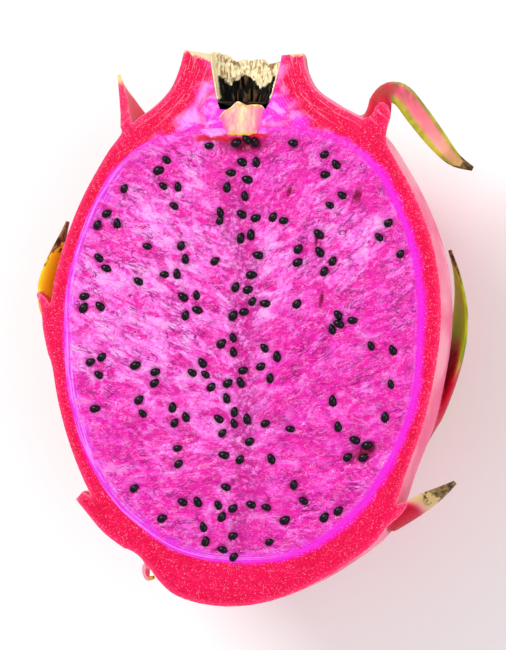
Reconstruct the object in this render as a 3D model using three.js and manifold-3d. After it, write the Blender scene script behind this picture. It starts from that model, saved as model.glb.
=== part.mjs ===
// Half a red-fleshed dragon fruit, cut lengthwise and lying on its rounded back with the cut face up.
// Millimetres, +Z up. +Y points to the flower end, where the neck is, and +X to the right of the cut
// face. The origin is on the small flat spot of the skin that the fruit rests on.

import * as THREE from 'three';
import { mergeVertices } from 'three/addons/utils/BufferGeometryUtils.js';
import Module from 'manifold-3d';

// Driving dimensions
const CUT_HEIGHT = 47.6; // of the cut face above the surface that the fruit rests on
const CUT_OFFSET = 0.14; // how far the cut misses the fruit's axis, as a share of the radius
const DEPTH_TAPER = 0.003; // how much deeper the back gets for each millimetre towards the stem end
const PIECE_GAP = 0.3; // between the rind, the flesh and the dried flower
const AROUND_BODY = 30; // sides of the rind's round sections
const AROUND_FLESH = 26;
const AROUND_NECK = 22;

// Rows of the cut outline from the stem end to the neck: height along Y, left edge, right edge
const SKIN_ROWS = [
  [-55.8, -3.0, -3.0],
  [-55.2, -9.0, 3.0],
  [-53.4, -14.6, 9.6],
  [-50.4, -18.2, 16.4],
  [-46.6, -21.2, 22.6],
  [-41.0, -26.8, 29.8],
  [-34.5, -32.0, 33.4],
  [-27.0, -35.8, 35.9],
  [-18.0, -39.1, 39.2],
  [-8.0, -41.4, 41.7],
  [3.0, -42.6, 43.3],
  [13.0, -41.6, 43.1],
  [22.0, -39.1, 41.4],
  [30.5, -35.7, 38.2],
  [37.5, -31.9, 34.6],
  [43.5, -27.9, 30.8],
  [47.8, -23.6, 26.2],
  [51.0, -19.2, 20.6],
  [54.5, -15.6, 16.2],
  [58.5, -13.6, 14.2],
  [62.2, -12.5, 13.6],
];

// Rows of the line where the rind meets the flesh
const FLESH_ROWS = [
  [-46.4, 0.0, 0.0],
  [-45.9, -7.4, 7.2],
  [-44.2, -14.0, 13.2],
  [-41.0, -19.6, 19.0],
  [-34.0, -27.9, 26.8],
  [-24.0, -34.2, 33.4],
  [-12.0, -38.0, 38.0],
  [0.0, -39.3, 39.4],
  [11.0, -38.9, 39.5],
  [21.0, -36.6, 37.8],
  [30.5, -32.7, 34.2],
  [38.0, -27.8, 29.8],
  [43.2, -21.2, 23.0],
  [45.8, -12.0, 13.6],
  [46.4, 0.6, 0.6],
];

// Rows of the crater in the neck that holds the dried flower
const CRATER_ROWS = [
  [50.2, -4.6, 5.4],
  [52.5, -5.4, 6.6],
  [57.0, -6.2, 7.9],
  [61.0, -6.8, 8.8],
  [66.0, -7.2, 9.2],
];

// A smooth run through rows of numbers, with t from 0 at the first row to 1 at the last
function rowAt(rows, t) {
  const place = Math.min(Math.max(t, 0), 1) * (rows.length - 1);
  const first = Math.min(Math.floor(place), rows.length - 2);
  const f = place - first;
  const before = rows[Math.max(first - 1, 0)];
  const start = rows[first];
  const end = rows[first + 1];
  const after = rows[Math.min(first + 2, rows.length - 1)];
  return start.map((value, i) => {
    const slopeIn = (end[i] - before[i]) / 2;
    const slopeOut = (after[i] - value) / 2;
    const cubic = 2 * value - 2 * end[i] + slopeIn + slopeOut;
    const square = -3 * value + 3 * end[i] - 2 * slopeIn - slopeOut;
    return ((cubic * f + square) * f + slopeIn) * f + value;
  });
}

// The same run, looked up by its first number, which grows from row to row
function rowAtHeight(rows, height) {
  let low = 0;
  let high = 1;
  for (let i = 0; i < 30; i += 1) {
    const middle = (low + high) / 2;
    if (rowAt(rows, middle)[0] < height) low = middle;
    else high = middle;
  }
  return rowAt(rows, low);
}

// A point of a round section. The angle is 0 at the right, a quarter turn at the back of the fruit and
// half a turn at the left. The circle's centre lies below the cut face, and grow moves the wall outwards.
function sectionPoint([height, left, right], angle, grow = 0) {
  const radius = (right - left) / 2 / Math.sqrt(1 - CUT_OFFSET ** 2);
  const deepen = Math.sin(angle) > 0 ? 1 - DEPTH_TAPER * height : 1;
  return new THREE.Vector3(
    (left + right) / 2 + (radius + grow) * Math.cos(angle),
    height,
    CUT_HEIGHT - CUT_OFFSET * radius - (radius + grow) * deepen * Math.sin(angle),
  );
}

// A closed mesh through rings of points, each end closed to a point
function ringGeometry(rings, startPoint, endPoint) {
  const around = rings[0].length;
  const points = [...rings.flat(), startPoint, endPoint];
  const startIndex = points.length - 2;
  const endIndex = points.length - 1;
  const lastRing = (rings.length - 1) * around;
  const index = [];
  for (let a = 0; a < around; a += 1) {
    const b = (a + 1) % around;
    for (let r = 0; r < rings.length - 1; r += 1) {
      const low = r * around;
      const high = low + around;
      index.push(low + a, low + b, high + b, low + a, high + b, high + a);
    }
    index.push(startIndex, b, a, endIndex, lastRing + a, lastRing + b);
  }
  const geometry = new THREE.BufferGeometry().setFromPoints(points);
  geometry.setIndex(index);
  return geometry;
}

// A round body along Y through rows of its outline
function roundBody(rows, { stations, around, grow = 0, stretch = 1, shape = (point) => point }) {
  const stretched = rows.map(([height, left, right]) => [height * stretch, left, right]);
  const startsAtPoint = rows[0][1] === rows[0][2];
  const endsAtPoint = rows.at(-1)[1] === rows.at(-1)[2];
  const rings = [];
  for (let s = startsAtPoint ? 1 : 0; s <= stations - (endsAtPoint ? 1 : 0); s += 1) {
    const row = rowAt(stretched, s / stations);
    const ring = [];
    for (let a = 0; a < around; a += 1) {
      const angle = (2 * Math.PI * (a + 0.5)) / around;
      ring.push(shape(sectionPoint(row, angle, grow), angle, s / stations));
    }
    rings.push(ring);
  }
  const poleOf = (ring, row, isPoint) => (isPoint
    ? new THREE.Vector3(row[1], row[0], CUT_HEIGHT)
    : ring.reduce((sum, point) => sum.add(point), new THREE.Vector3()).divideScalar(ring.length));
  return ringGeometry(
    rings,
    poleOf(rings[0], stretched[0], startsAtPoint),
    poleOf(rings.at(-1), stretched.at(-1), endsAtPoint),
  );
}

// Joining and cutting of closed meshes
const wasm = await Module();
wasm.setup();

function signedVolume(position, index) {
  const corner = [new THREE.Vector3(), new THREE.Vector3(), new THREE.Vector3()];
  let sum = 0;
  for (let i = 0; i < index.count; i += 3) {
    corner.forEach((point, c) => point.fromBufferAttribute(position, index.getX(i + c)));
    sum += corner[0].dot(corner[1].cross(corner[2])) / 6;
  }
  return sum;
}

function toSolid(geometry) {
  const plain = geometry.clone();
  plain.deleteAttribute('normal');
  plain.deleteAttribute('uv');
  const merged = mergeVertices(plain, 1e-4);
  const triVerts = Uint32Array.from(merged.index.array);
  if (signedVolume(merged.attributes.position, merged.index) < 0) triVerts.reverse();
  const vertProperties = Float32Array.from(merged.attributes.position.array);
  return new wasm.Manifold(new wasm.Mesh({ numProp: 3, vertProperties, triVerts }));
}

function toGeometry(solid) {
  const { vertProperties, triVerts } = solid.getMesh();
  const geometry = new THREE.BufferGeometry();
  geometry.setAttribute('position', new THREE.BufferAttribute(vertProperties, 3));
  geometry.setIndex(new THREE.BufferAttribute(triVerts, 1));
  return geometry;
}

function boxSolid(width, length, lowZ, highZ) {
  const box = new THREE.BoxGeometry(width, length, highZ - lowZ);
  box.translate(0, 0, (lowZ + highZ) / 2);
  return toSolid(box);
}

// Everything that the knife and the resting surface leave: between the rest plane and the cut face
const halfSpace = () => boxSolid(160, 180, 0, CUT_HEIGHT);

// A seeded row of numbers from 0 to 1
function seededNumbers(seed) {
  let state = seed;
  return () => {
    state = (state * 48271) % 2147483647;
    return state / 2147483647;
  };
}

// Bracts, the leafy scales of the skin

// A bract is a lens-shaped section carried along a path. Its sections bend round the fruit with the
// wrap radius, and its outer face turns from one direction to the other along the path.
function bractSolid({ path, faces, halfWidths, thicknesses, wrap, stations = 9, around = 10 }) {
  const rings = [];
  const pointAt = (t) => new THREE.Vector3(...rowAt(path, t));
  for (let s = 0; s <= stations; s += 1) {
    const t = s / stations;
    const middle = pointAt(t);
    const along = pointAt(t + 0.02).sub(pointAt(t - 0.02)).normalize();
    const face = new THREE.Vector3(...rowAt(faces, t));
    face.addScaledVector(along, -face.dot(along)).normalize();
    const side = along.clone().cross(face);
    const [halfWidth] = rowAt(halfWidths.map((value) => [value]), t);
    const [thickness] = rowAt(thicknesses.map((value) => [value]), t);
    const ring = [];
    for (let a = 0; a < around; a += 1) {
      const turn = (2 * Math.PI * a) / around;
      const bend = (halfWidth * Math.cos(turn)) / wrap;
      const lift = (thickness / 2) * Math.sin(turn);
      const outward = face.clone().multiplyScalar(Math.cos(bend)).addScaledVector(side, Math.sin(bend));
      ring.push(middle.clone()
        .addScaledVector(side, wrap * Math.sin(bend))
        .addScaledVector(face, -wrap * (1 - Math.cos(bend)))
        .addScaledVector(outward, lift));
    }
    rings.push(ring);
  }
  return toSolid(ringGeometry(rings, pointAt(0), pointAt(1)));
}

// Height of a point that lies a given depth behind the cut face
const behind = (depth) => CUT_HEIGHT - depth;

// The bracts that show round the cut face, clockwise from the upper left
const EDGE_BRACTS = [
  { // upright triangle at the upper left, sliced down its middle
    path: [[-27.4, 36.0, behind(0)], [-25.8, 43.0, behind(0)], [-25.8, 50.5, behind(0)], [-27.0, 58.0, behind(0)]],
    faces: [[-0.9, -0.3, 0.1], [-1, 0, 0.15], [-1, 0, 0.2]],
    halfWidths: [10.0, 14.0, 14.5, 9.0, 0.6],
    thicknesses: [3.0, 3.6, 2.2, 1.7, 0.7],
    wrap: 20,
  },
  { // long strap at the upper right that arches over and hangs outwards
    path: [
      [26.0, 42.5, behind(1.5)], [28.2, 49.0, behind(1.8)], [30.6, 53.4, behind(2.6)],
      [34.2, 53.2, behind(3.2)], [37.9, 48.8, behind(3.4)], [41.6, 43.8, behind(3.4)],
      [45.4, 39.4, behind(3.2)], [49.6, 37.2, behind(3.0)],
    ],
    faces: [[-0.8, 0.3, 0.5], [-0.5, 0.5, 0.7], [0.4, 0.4, 1], [0.25, 0.2, 1], [0, 0, 1]],
    halfWidths: [6.5, 5.0, 3.0, 2.7, 2.8, 2.4, 1.6, 0.5],
    thicknesses: [4.0, 3.0, 2.4, 1.8, 1.5, 1.3, 1.1, 0.8],
    wrap: 4.5,
    stations: 15,
  },
  { // long bract behind the right side that stands just off the skin
    path: [
      [30.5, -27.0, behind(19)], [36.8, -16.0, behind(22)], [41.4, -4.0, behind(24)],
      [43.2, 6.0, behind(24)], [42.6, 14.0, behind(23)], [40.9, 20.4, behind(22)],
    ],
    faces: [[0.9, -0.3, -0.35], [0.95, 0, -0.3], [0.95, 0.2, -0.25]],
    halfWidths: [6.0, 8.4, 7.6, 5.6, 3.2, 0.5],
    thicknesses: [3.2, 3.2, 2.0, 1.5, 1.1, 0.8],
    wrap: 26,
    stations: 12,
  },
  { // narrow dry bract at the lower right
    path: [[31.0, -37.6, behind(2.5)], [36.0, -35.6, behind(3.4)], [40.6, -32.6, behind(4)], [45.6, -29.0, behind(4)]],
    faces: [[0.4, -0.85, 0.3], [0.4, -0.85, 0.4], [0.4, -0.8, 0.5]],
    halfWidths: [5.5, 4.4, 3.2, 0.6],
    thicknesses: [4.6, 2.4, 1.5, 0.8],
    wrap: 9,
  },
  { // small curled bract at the stem end
    path: [[-18.6, -44.2, behind(2)], [-21.6, -47.4, behind(2.4)], [-21.4, -50.0, behind(2.6)], [-19.9, -49.9, behind(2.8)]],
    faces: [[-0.7, 0.3, 0], [-1, -0.3, 0], [0, -1, 0], [0.8, -0.6, 0]],
    halfWidths: [3.4, 2.6, 1.8, 0.6],
    thicknesses: [2.4, 1.5, 1.1, 0.8],
    wrap: 6,
  },
  { // thick stub at the lower left, where a bract was trimmed off
    path: [[-22.5, -42.6, behind(2)], [-28.6, -38.4, behind(2)], [-33.4, -34.6, behind(2)], [-35.9, -32.4, behind(2)]],
    faces: [[-0.7, -0.7, 0], [-0.7, -0.7, 0]],
    halfWidths: [8.0, 8.0, 5.8, 4.2],
    thicknesses: [5.6, 5.6, 3.6, 2.6],
    wrap: 24,
  },
  { // hooked stub at the left, sliced off near its root
    path: [[-41.2, -3.0, behind(1)], [-42.4, 3.6, behind(1)], [-43.6, 8.4, behind(1)], [-45.3, 11.2, behind(1)]],
    faces: [[-1, -0.1, 0], [-0.9, -0.35, 0]],
    halfWidths: [5.5, 5.0, 4.0, 2.4],
    thicknesses: [3.0, 3.4, 2.2, 0.9],
    wrap: 26,
  },
  { // upright blade above that stub, behind the cut face
    path: [[-40.4, 3.0, behind(11)], [-43.4, 10.0, behind(7)], [-43.6, 17.0, behind(5)], [-39.6, 26.6, behind(4)]],
    faces: [[-0.95, -0.2, -0.3], [-1, 0, 0], [-1, 0.2, 0.1]],
    halfWidths: [6.0, 6.4, 4.4, 0.6],
    thicknesses: [2.6, 1.8, 1.3, 0.8],
    wrap: 18,
  },
];

// The bracts of the back stand in a spiral, as a leaf's buds do. Each starts as a low ridge under the
// skin, rises off it towards the neck and stays above the surface that the fruit rests on.
const SPIRAL_COUNT = 36;
const SPIRAL_TURN = 2.39996; // radians from one bract to the next
const SPIRAL_LOW = -44; // height along Y of the first root
const SPIRAL_HIGH = 43; // and of the last
const EDGE_KEPT_CLEAR = 0.36; // radians from the cut face that have no root of these bracts
const BRACT_SPACING = 14; // between the root of one and the path of a bract of the cut edge
const FLOOR_CLEARANCE = 1.3; // of a bract's middle above the rest plane

function backBracts() {
  const random = seededNumbers(20611);
  const edgePoints = EDGE_BRACTS.flatMap(({ path }) => path.map((point) => new THREE.Vector3(...point)));
  const bracts = [];
  for (let k = 0; k < SPIRAL_COUNT; k += 1) {
    const angle = (SPIRAL_TURN * k + 0.55) % (2 * Math.PI);
    const height = SPIRAL_LOW + ((SPIRAL_HIGH - SPIRAL_LOW) * k) / (SPIRAL_COUNT - 1);
    const share = k / (SPIRAL_COUNT - 1);
    const length = 15 + 9 * share + 3 * random();
    const rise = 5.5 + 4.5 * random();
    const root = sectionPoint(rowAtHeight(SKIN_ROWS, height + 5), angle);
    const onTheBack = angle > EDGE_KEPT_CLEAR && angle < Math.PI - EDGE_KEPT_CLEAR;
    const underTheFruit = Math.abs(angle - Math.PI / 2) < 0.42 && height > -24 && height < 12;
    const nextToAnother = edgePoints.some((point) => point.distanceTo(root) < BRACT_SPACING);
    if (onTheBack && !underTheFruit && !nextToAnother) bracts.push({ angle, height, length, rise });
  }
  return bracts.map(({ angle, height, length, rise }) => {
    const path = [];
    const faces = [];
    const steps = 6;
    for (let s = 0; s <= steps; s += 1) {
      const t = s / steps;
      const row = rowAtHeight(SKIN_ROWS, height - 5 + (length + 5) * t);
      const skin = sectionPoint(row, angle);
      const outward = sectionPoint(row, angle, 1).sub(skin).normalize();
      const wanted = -2.2 + (rise + 2.2) * t ** 1.5;
      const allowed = (skin.z - FLOOR_CLEARANCE) / Math.max(-outward.z, 0.01);
      path.push(skin.addScaledVector(outward, Math.min(wanted, allowed)).toArray());
      faces.push(outward.toArray());
    }
    const [, left, right] = rowAtHeight(SKIN_ROWS, height);
    const wrap = Math.max((right - left) / 2, 12);
    const halfWidth = Math.min(10.5, 0.42 * wrap);
    return {
      path,
      faces,
      wrap,
      halfWidths: [0.75, 1, 0.92, 0.7, 0.42, 0.05].map((share) => share * halfWidth),
      thicknesses: [3.6, 3.4, 2.4, 1.7, 1.2, 0.8],
    };
  });
}

// The rind: skin, bracts and neck in one piece, hollow where the flesh and the dried flower sit
function rindSolid() {
  const slantedTop = (point) => {
    const share = THREE.MathUtils.clamp((point.y - 52) / 10, 0, 1);
    const slant = 0.9 - 0.08 * Math.abs(point.x + 12) - 0.24 * Math.max(CUT_HEIGHT - point.z, 0);
    point.y += share * slant;
    return point;
  };
  let solid = toSolid(roundBody(SKIN_ROWS, { stations: 38, around: AROUND_BODY, shape: slantedTop }));
  [...EDGE_BRACTS, ...backBracts()].forEach((bract) => {
    solid = solid.add(bractSolid(bract));
  });
  return solid
    .subtract(toSolid(roundBody(FLESH_ROWS, { stations: 26, around: AROUND_FLESH })))
    .subtract(toSolid(roundBody(CRATER_ROWS, { stations: 6, around: AROUND_NECK })))
    .intersect(halfSpace());
}

// The flesh

// Fibres of the flesh spread from a point low on the cut face, and leave shallow ripples on it
const FIBRE_CENTRE = [-1, -20];
const RIPPLE_CELL = 3.2;

function fleshRipple(x, y) {
  const dx = x - FIBRE_CENTRE[0];
  const dy = y - FIBRE_CENTRE[1];
  const distance = Math.hypot(dx, dy);
  const direction = Math.atan2(dy, dx);
  const ripple = 0.26 * Math.sin(11 * direction + 1.5 * Math.sin(distance / 8));
  const swell = 0.2 * Math.sin(distance / 3.1 + 2 * Math.sin(3 * direction));
  return (ripple + swell) * Math.min(distance / 12, 1) - 0.35;
}

// Everything under the rippled cut face of the flesh
function underRipples() {
  const width = 84;
  const length = 98;
  const columns = Math.round(width / RIPPLE_CELL);
  const lines = Math.round(length / RIPPLE_CELL);
  const slab = new THREE.BoxGeometry(width, length, CUT_HEIGHT, columns, lines, 1);
  slab.translate(0, 0, CUT_HEIGHT / 2);
  const position = slab.attributes.position;
  for (let i = 0; i < position.count; i += 1) {
    if (position.getZ(i) > CUT_HEIGHT / 2) {
      position.setZ(i, CUT_HEIGHT + fleshRipple(position.getX(i), position.getY(i)));
    }
  }
  return toSolid(slab);
}

// Seeds of the cut face, in groups: middle x and y, spread, and how many
const SEED_GROUPS = [
  [11.4, 43.0, 0.5, 1], [-7.0, 42.6, 0.5, 1], [1.0, 41.3, 3.4, 5], [-18.0, 39.0, 3.6, 2],
  [18.4, 38.2, 2.4, 3], [-25.8, 33.4, 0.6, 1], [-16.0, 31.8, 3.2, 3], [-1.0, 34.2, 3.4, 4],
  [21.0, 30.2, 2.0, 2], [2.0, 28.6, 2.6, 2], [-30.0, 26.2, 2.4, 3], [8.6, 26.2, 2.2, 2],
  [-4.4, 26.6, 1.8, 2], [31.6, 24.4, 2.8, 2], [0.4, 22.8, 2.2, 2], [16.4, 23.8, 0.6, 1],
  [-13.0, 19.4, 2.2, 2], [-20.6, 20.6, 0.6, 1], [-30.6, 18.4, 2.0, 2], [4.0, 19.6, 1.4, 1],
  [18.6, 17.8, 2.8, 3], [11.4, 19.0, 2.0, 2], [35.0, 19.2, 0.5, 1], [-15.6, 14.6, 2.6, 2],
  [-6.3, 17.7, 0.6, 1], [0.6, 14.2, 3.0, 3], [-22.8, 13.6, 0.6, 1], [3.6, 9.6, 2.0, 2],
  [-33.2, 9.2, 2.4, 3], [-10.8, 8.2, 3.4, 4], [11.6, 9.0, 0.8, 1], [23.2, 7.0, 3.0, 2],
  [-1.2, 6.0, 2.4, 2], [20.2, 3.4, 1.8, 2], [-2.4, 0.6, 2.6, 3], [7.2, 0.0, 3.0, 2],
  [31.0, -0.6, 3.6, 2], [-21.4, -3.6, 4.2, 2], [-32.6, -4.2, 2.4, 3], [-8.2, -6.2, 3.4, 4],
  [-1.6, -7.0, 2.8, 3], [7.2, -4.6, 3.0, 2], [32.6, -8.2, 0.6, 1], [-19.4, -7.6, 0.6, 1],
  [20.2, -11.8, 0.6, 1], [-3.6, -12.2, 1.4, 1], [-22.2, -13.0, 2.2, 2], [-32.0, -13.8, 0.6, 1],
  [-14.6, -14.6, 3.0, 3], [-2.4, -16.6, 2.8, 4], [2.4, -18.2, 3.2, 3], [11.0, -18.0, 0.6, 1],
  [21.0, -17.2, 0.6, 1], [31.0, -15.0, 0.6, 1], [26.4, -23.2, 3.6, 4], [-13.8, -24.4, 2.6, 2],
  [-1.4, -25.8, 3.6, 2], [6.8, -24.6, 0.8, 1], [-3.4, -29.8, 0.6, 1], [-23.8, -30.6, 0.6, 1],
  [12.8, -31.4, 2.2, 2], [-12.0, -34.4, 3.0, 2], [-4.0, -34.4, 2.4, 3], [3.6, -35.4, 2.2, 2],
  [18.4, -35.0, 3.0, 2], [9.4, -37.2, 0.6, 1], [-17.4, -37.4, 0.6, 1], [-8.8, -40.2, 2.6, 2],
  [5.6, -42.0, 0.6, 1], [-1.4, -43.0, 3.0, 3],
];
const SEED_SPACING = 2.5;
const SEED_TRIES = 14;
const SEED_HALF_LENGTH = 1.15;
const SEED_HALF_WIDTH = 0.8;

function seedPlaces() {
  const random = seededNumbers(4711);
  const places = [];
  SEED_GROUPS.forEach(([middleX, middleY, spread, count]) => {
    for (let k = 0; k < count; k += 1) {
      let best = null;
      for (let attempt = 0; attempt < SEED_TRIES; attempt += 1) {
        const reach = spread * Math.sqrt(random());
        const turn = 2 * Math.PI * random();
        const x = middleX + reach * Math.cos(turn);
        const y = middleY + reach * Math.sin(turn);
        const nearest = Math.min(...places.map((seed) => Math.hypot(seed.x - x, seed.y - y)), 99);
        if (!best || nearest > best.nearest) best = { x, y, nearest };
        if (nearest > SEED_SPACING) break;
      }
      places.push({ x: best.x, y: best.y, turn: Math.PI * random(), size: 0.9 + 0.2 * random() });
    }
  });
  return places;
}

// A seed is a small egg, half sunk into the cut face
function seedSolid({ x, y, turn, size }) {
  const rings = [-0.75, 0.75].map((level) => {
    const ring = [];
    for (let a = 0; a < 6; a += 1) {
      const angle = (Math.PI * a) / 3;
      const narrow = level > 0 ? 0.72 : 0.95;
      const lengthwise = narrow * size * SEED_HALF_LENGTH * Math.cos(angle);
      const crosswise = narrow * size * SEED_HALF_WIDTH * Math.sin(angle);
      ring.push(new THREE.Vector3(
        lengthwise * Math.cos(turn) - crosswise * Math.sin(turn),
        lengthwise * Math.sin(turn) + crosswise * Math.cos(turn),
        0.45 * level,
      ));
    }
    return ring;
  });
  const geometry = ringGeometry(rings, new THREE.Vector3(0, 0, -1.1), new THREE.Vector3(0, 0, 0.55));
  geometry.translate(x, y, CUT_HEIGHT + fleshRipple(x, y));
  return toSolid(geometry);
}

function fleshSolid() {
  const stretch = 1 - PIECE_GAP / 46;
  const round = toSolid(roundBody(FLESH_ROWS, {
    stations: 26, around: AROUND_FLESH, grow: -PIECE_GAP, stretch,
  }));
  let solid = round.intersect(underRipples());
  seedPlaces().forEach((place) => {
    solid = solid.add(seedSolid(place));
  });
  return solid;
}

// The dried flower: a withered papery cup in the neck's crater, with a torn rim that dips at the back

const CUP_FLOOR = 1.6;
const CUP_WALL = 1.05;

function rimHeight(x, z) {
  const angle = Math.atan2(CUT_HEIGHT - z, x - 1);
  const tear = 0.5 * Math.sin(5 * angle + 0.6) + 0.4 * Math.sin(11 * angle);
  const dip = 4 * Math.max(Math.sin(angle + 0.5), 0);
  return 63.4 + tear - dip;
}

// Everything below the torn rim
function belowRim() {
  const block = new THREE.BoxGeometry(24, 20, 24, 18, 1, 18);
  block.translate(1, 55, CUT_HEIGHT - 6);
  const position = block.attributes.position;
  for (let i = 0; i < position.count; i += 1) {
    if (position.getY(i) > 55) position.setY(i, rimHeight(position.getX(i), position.getZ(i)));
  }
  return toSolid(block);
}

function driedFlowerSolid() {
  const raised = (lift) => [[CRATER_ROWS[0][0] + lift, ...CRATER_ROWS[0].slice(1)], ...CRATER_ROWS.slice(1)];
  const outer = roundBody(raised(PIECE_GAP), { stations: 6, around: AROUND_NECK, grow: -PIECE_GAP });
  const folded = (point, angle, t) => {
    const fold = 0.28 * Math.sin(9 * angle) * (1 - 0.5 * t);
    point.x += fold * Math.cos(angle);
    point.z -= fold * Math.sin(angle);
    return point;
  };
  const inner = roundBody(raised(PIECE_GAP + CUP_FLOOR), {
    stations: 5, around: 36, grow: -PIECE_GAP - CUP_WALL, shape: folded,
  });
  return toSolid(outer).intersect(belowRim()).subtract(toSolid(inner)).intersect(halfSpace());
}

// Scene graph
function namedMesh(name, solid, color, roughness) {
  const material = new THREE.MeshStandardMaterial({ color, roughness, metalness: 0 });
  const mesh = new THREE.Mesh(toGeometry(solid), material);
  mesh.name = name;
  return mesh;
}

const group = new THREE.Group();
group.add(
  namedMesh('rind', rindSolid(), 0xe8285a, 0.45),
  namedMesh('flesh', fleshSolid(), 0xee5fc8, 0.25),
  namedMesh('dried_flower', driedFlowerSolid(), 0x9a8560, 0.9),
);

export default group;
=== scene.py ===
# %% [markdown]
# # Half a dragon fruit, cut face up
# A dragon fruit is a cactus berry. Its rind carries leafy bracts, its flesh holds hundreds of small
# black seeds, and the withered flower stays in the neck. This half was cut lengthwise and lies on
# its back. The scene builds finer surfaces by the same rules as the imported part, so each one keeps
# the form of the node that it replaces.

import math

import bmesh
import bpy
import numpy as np
from mathutils import Matrix, Vector


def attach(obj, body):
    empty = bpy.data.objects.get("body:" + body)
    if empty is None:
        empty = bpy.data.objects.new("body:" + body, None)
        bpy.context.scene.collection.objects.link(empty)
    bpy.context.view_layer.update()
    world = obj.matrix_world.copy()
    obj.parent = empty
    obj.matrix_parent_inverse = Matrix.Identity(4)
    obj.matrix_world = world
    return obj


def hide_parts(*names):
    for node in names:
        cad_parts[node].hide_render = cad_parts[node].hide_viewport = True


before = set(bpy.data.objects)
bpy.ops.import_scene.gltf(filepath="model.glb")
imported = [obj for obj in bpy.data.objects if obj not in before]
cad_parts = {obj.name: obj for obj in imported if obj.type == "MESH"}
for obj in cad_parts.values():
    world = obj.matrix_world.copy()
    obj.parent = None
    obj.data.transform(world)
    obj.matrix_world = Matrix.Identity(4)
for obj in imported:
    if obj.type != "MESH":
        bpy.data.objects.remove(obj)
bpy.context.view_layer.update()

# %% [markdown]
# ## Dimensions
# All lengths are millimetres. Y runs along the fruit to the neck, X to the right of the cut face
# and Z up out of it. Each row gives the height along Y and the left and right edge of the outline
# on the cut face, so the asymmetry that every grown fruit has is in the rows.

# %% Dimensions of the fruit
MM = 0.001
CUT_HEIGHT = 47.6
CUT_OFFSET = 0.14
DEPTH_TAPER = 0.003
NECK_TOP = 62.2

SKIN_ROWS = [
    [-55.8, -3.0, -3.0], [-55.2, -9.0, 3.0], [-53.4, -14.6, 9.6], [-50.4, -18.2, 16.4],
    [-46.6, -21.2, 22.6], [-41.0, -26.8, 29.8], [-34.5, -32.0, 33.4], [-27.0, -35.8, 35.9],
    [-18.0, -39.1, 39.2], [-8.0, -41.4, 41.7], [3.0, -42.6, 43.3], [13.0, -41.6, 43.1],
    [22.0, -39.1, 41.4], [30.5, -35.7, 38.2], [37.5, -31.9, 34.6], [43.5, -27.9, 30.8],
    [47.8, -23.6, 26.2], [51.0, -19.2, 20.6], [54.5, -15.6, 16.2], [58.5, -13.6, 14.2],
    [62.2, -12.5, 13.6],
]
FLESH_ROWS = [
    [-46.4, 0.0, 0.0], [-45.9, -7.4, 7.2], [-44.2, -14.0, 13.2], [-41.0, -19.6, 19.0],
    [-34.0, -27.9, 26.8], [-24.0, -34.2, 33.4], [-12.0, -38.0, 38.0], [0.0, -39.3, 39.4],
    [11.0, -38.9, 39.5], [21.0, -36.6, 37.8], [30.5, -32.7, 34.2], [38.0, -27.8, 29.8],
    [43.2, -21.2, 23.0], [45.8, -12.0, 13.6], [46.4, 0.6, 0.6],
]
CRATER_ROWS = [
    [50.2, -4.6, 5.4], [52.5, -5.4, 6.6], [57.0, -6.2, 7.9], [61.0, -6.8, 8.8], [66.0, -7.2, 9.2],
]
print("rows:", len(SKIN_ROWS), "for the skin,", len(FLESH_ROWS), "flesh,", len(CRATER_ROWS), "crater")

# %% [markdown]
# ## Smooth runs and round sections
# The outline is a smooth run through the rows. A section of the fruit is a circle whose centre lies
# a little below the cut, because the knife missed the axis. Whole arrays of run positions and
# angles go in, so a surface of a hundred thousand points takes a few milliseconds.


# %% Rules of the outline
def row_at(rows, t):
    """Value of a smooth run at t from 0 to 1: a cubic between two rows whose slope at a row is half
    the difference of its neighbours."""
    rows = np.asarray(rows, float)
    place = np.clip(t, 0.0, 1.0) * (len(rows) - 1)
    first = np.minimum(np.floor(place).astype(int), len(rows) - 2)
    f = (place - first)[..., None]
    before, start = rows[np.maximum(first - 1, 0)], rows[first]
    end, after = rows[first + 1], rows[np.minimum(first + 2, len(rows) - 1)]
    slope_in, slope_out = (end - before) / 2, (after - start) / 2
    cubic = 2 * start - 2 * end + slope_in + slope_out
    square = -3 * start + 3 * end - 2 * slope_in - slope_out
    return ((cubic * f + square) * f + slope_in) * f + start


def row_at_height(rows, height):
    """The run looked up by its first column, by halving the interval thirty times."""
    low = np.zeros_like(np.asarray(height, float))
    high = np.ones_like(low)
    for _ in range(30):
        middle = (low + high) / 2
        below = row_at(rows, middle)[..., 0] < height
        low, high = np.where(below, middle, low), np.where(below, high, middle)
    return row_at(rows, low)


def section_points(row, angle, grow=0.0):
    """Points of a circle through both edges of a row. Its radius is half the width over the root of
    one less the offset squared, and the back half is stretched by the taper towards the stem."""
    height, left, right = row[..., 0], row[..., 1], row[..., 2]
    radius = (right - left) / 2 / math.sqrt(1 - CUT_OFFSET**2)
    deepen = np.where(np.sin(angle) > 0, 1 - DEPTH_TAPER * height, 1.0)
    x = (left + right) / 2 + (radius + grow) * np.cos(angle)
    z = CUT_HEIGHT - CUT_OFFSET * radius - (radius + grow) * deepen * np.sin(angle)
    return np.stack([x, height + 0 * angle, z], axis=-1)


def smoothstep(low, high, value):
    """Eases from 0 at low to 1 at high with a level start and end."""
    share = np.clip((value - low) / (high - low), 0.0, 1.0)
    return share * share * (3 - 2 * share)


print("cut face width:", np.ptp(row_at(SKIN_ROWS, np.linspace(0, 1, 200))[:, 1:]).round(1), "mm")

# %% [markdown]
# ## Making and joining meshes
# Every surface is a stack of closed rings with a point at each end, so it is watertight and can be
# joined and cut exactly. The Boolean modifier is applied at once.


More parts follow.
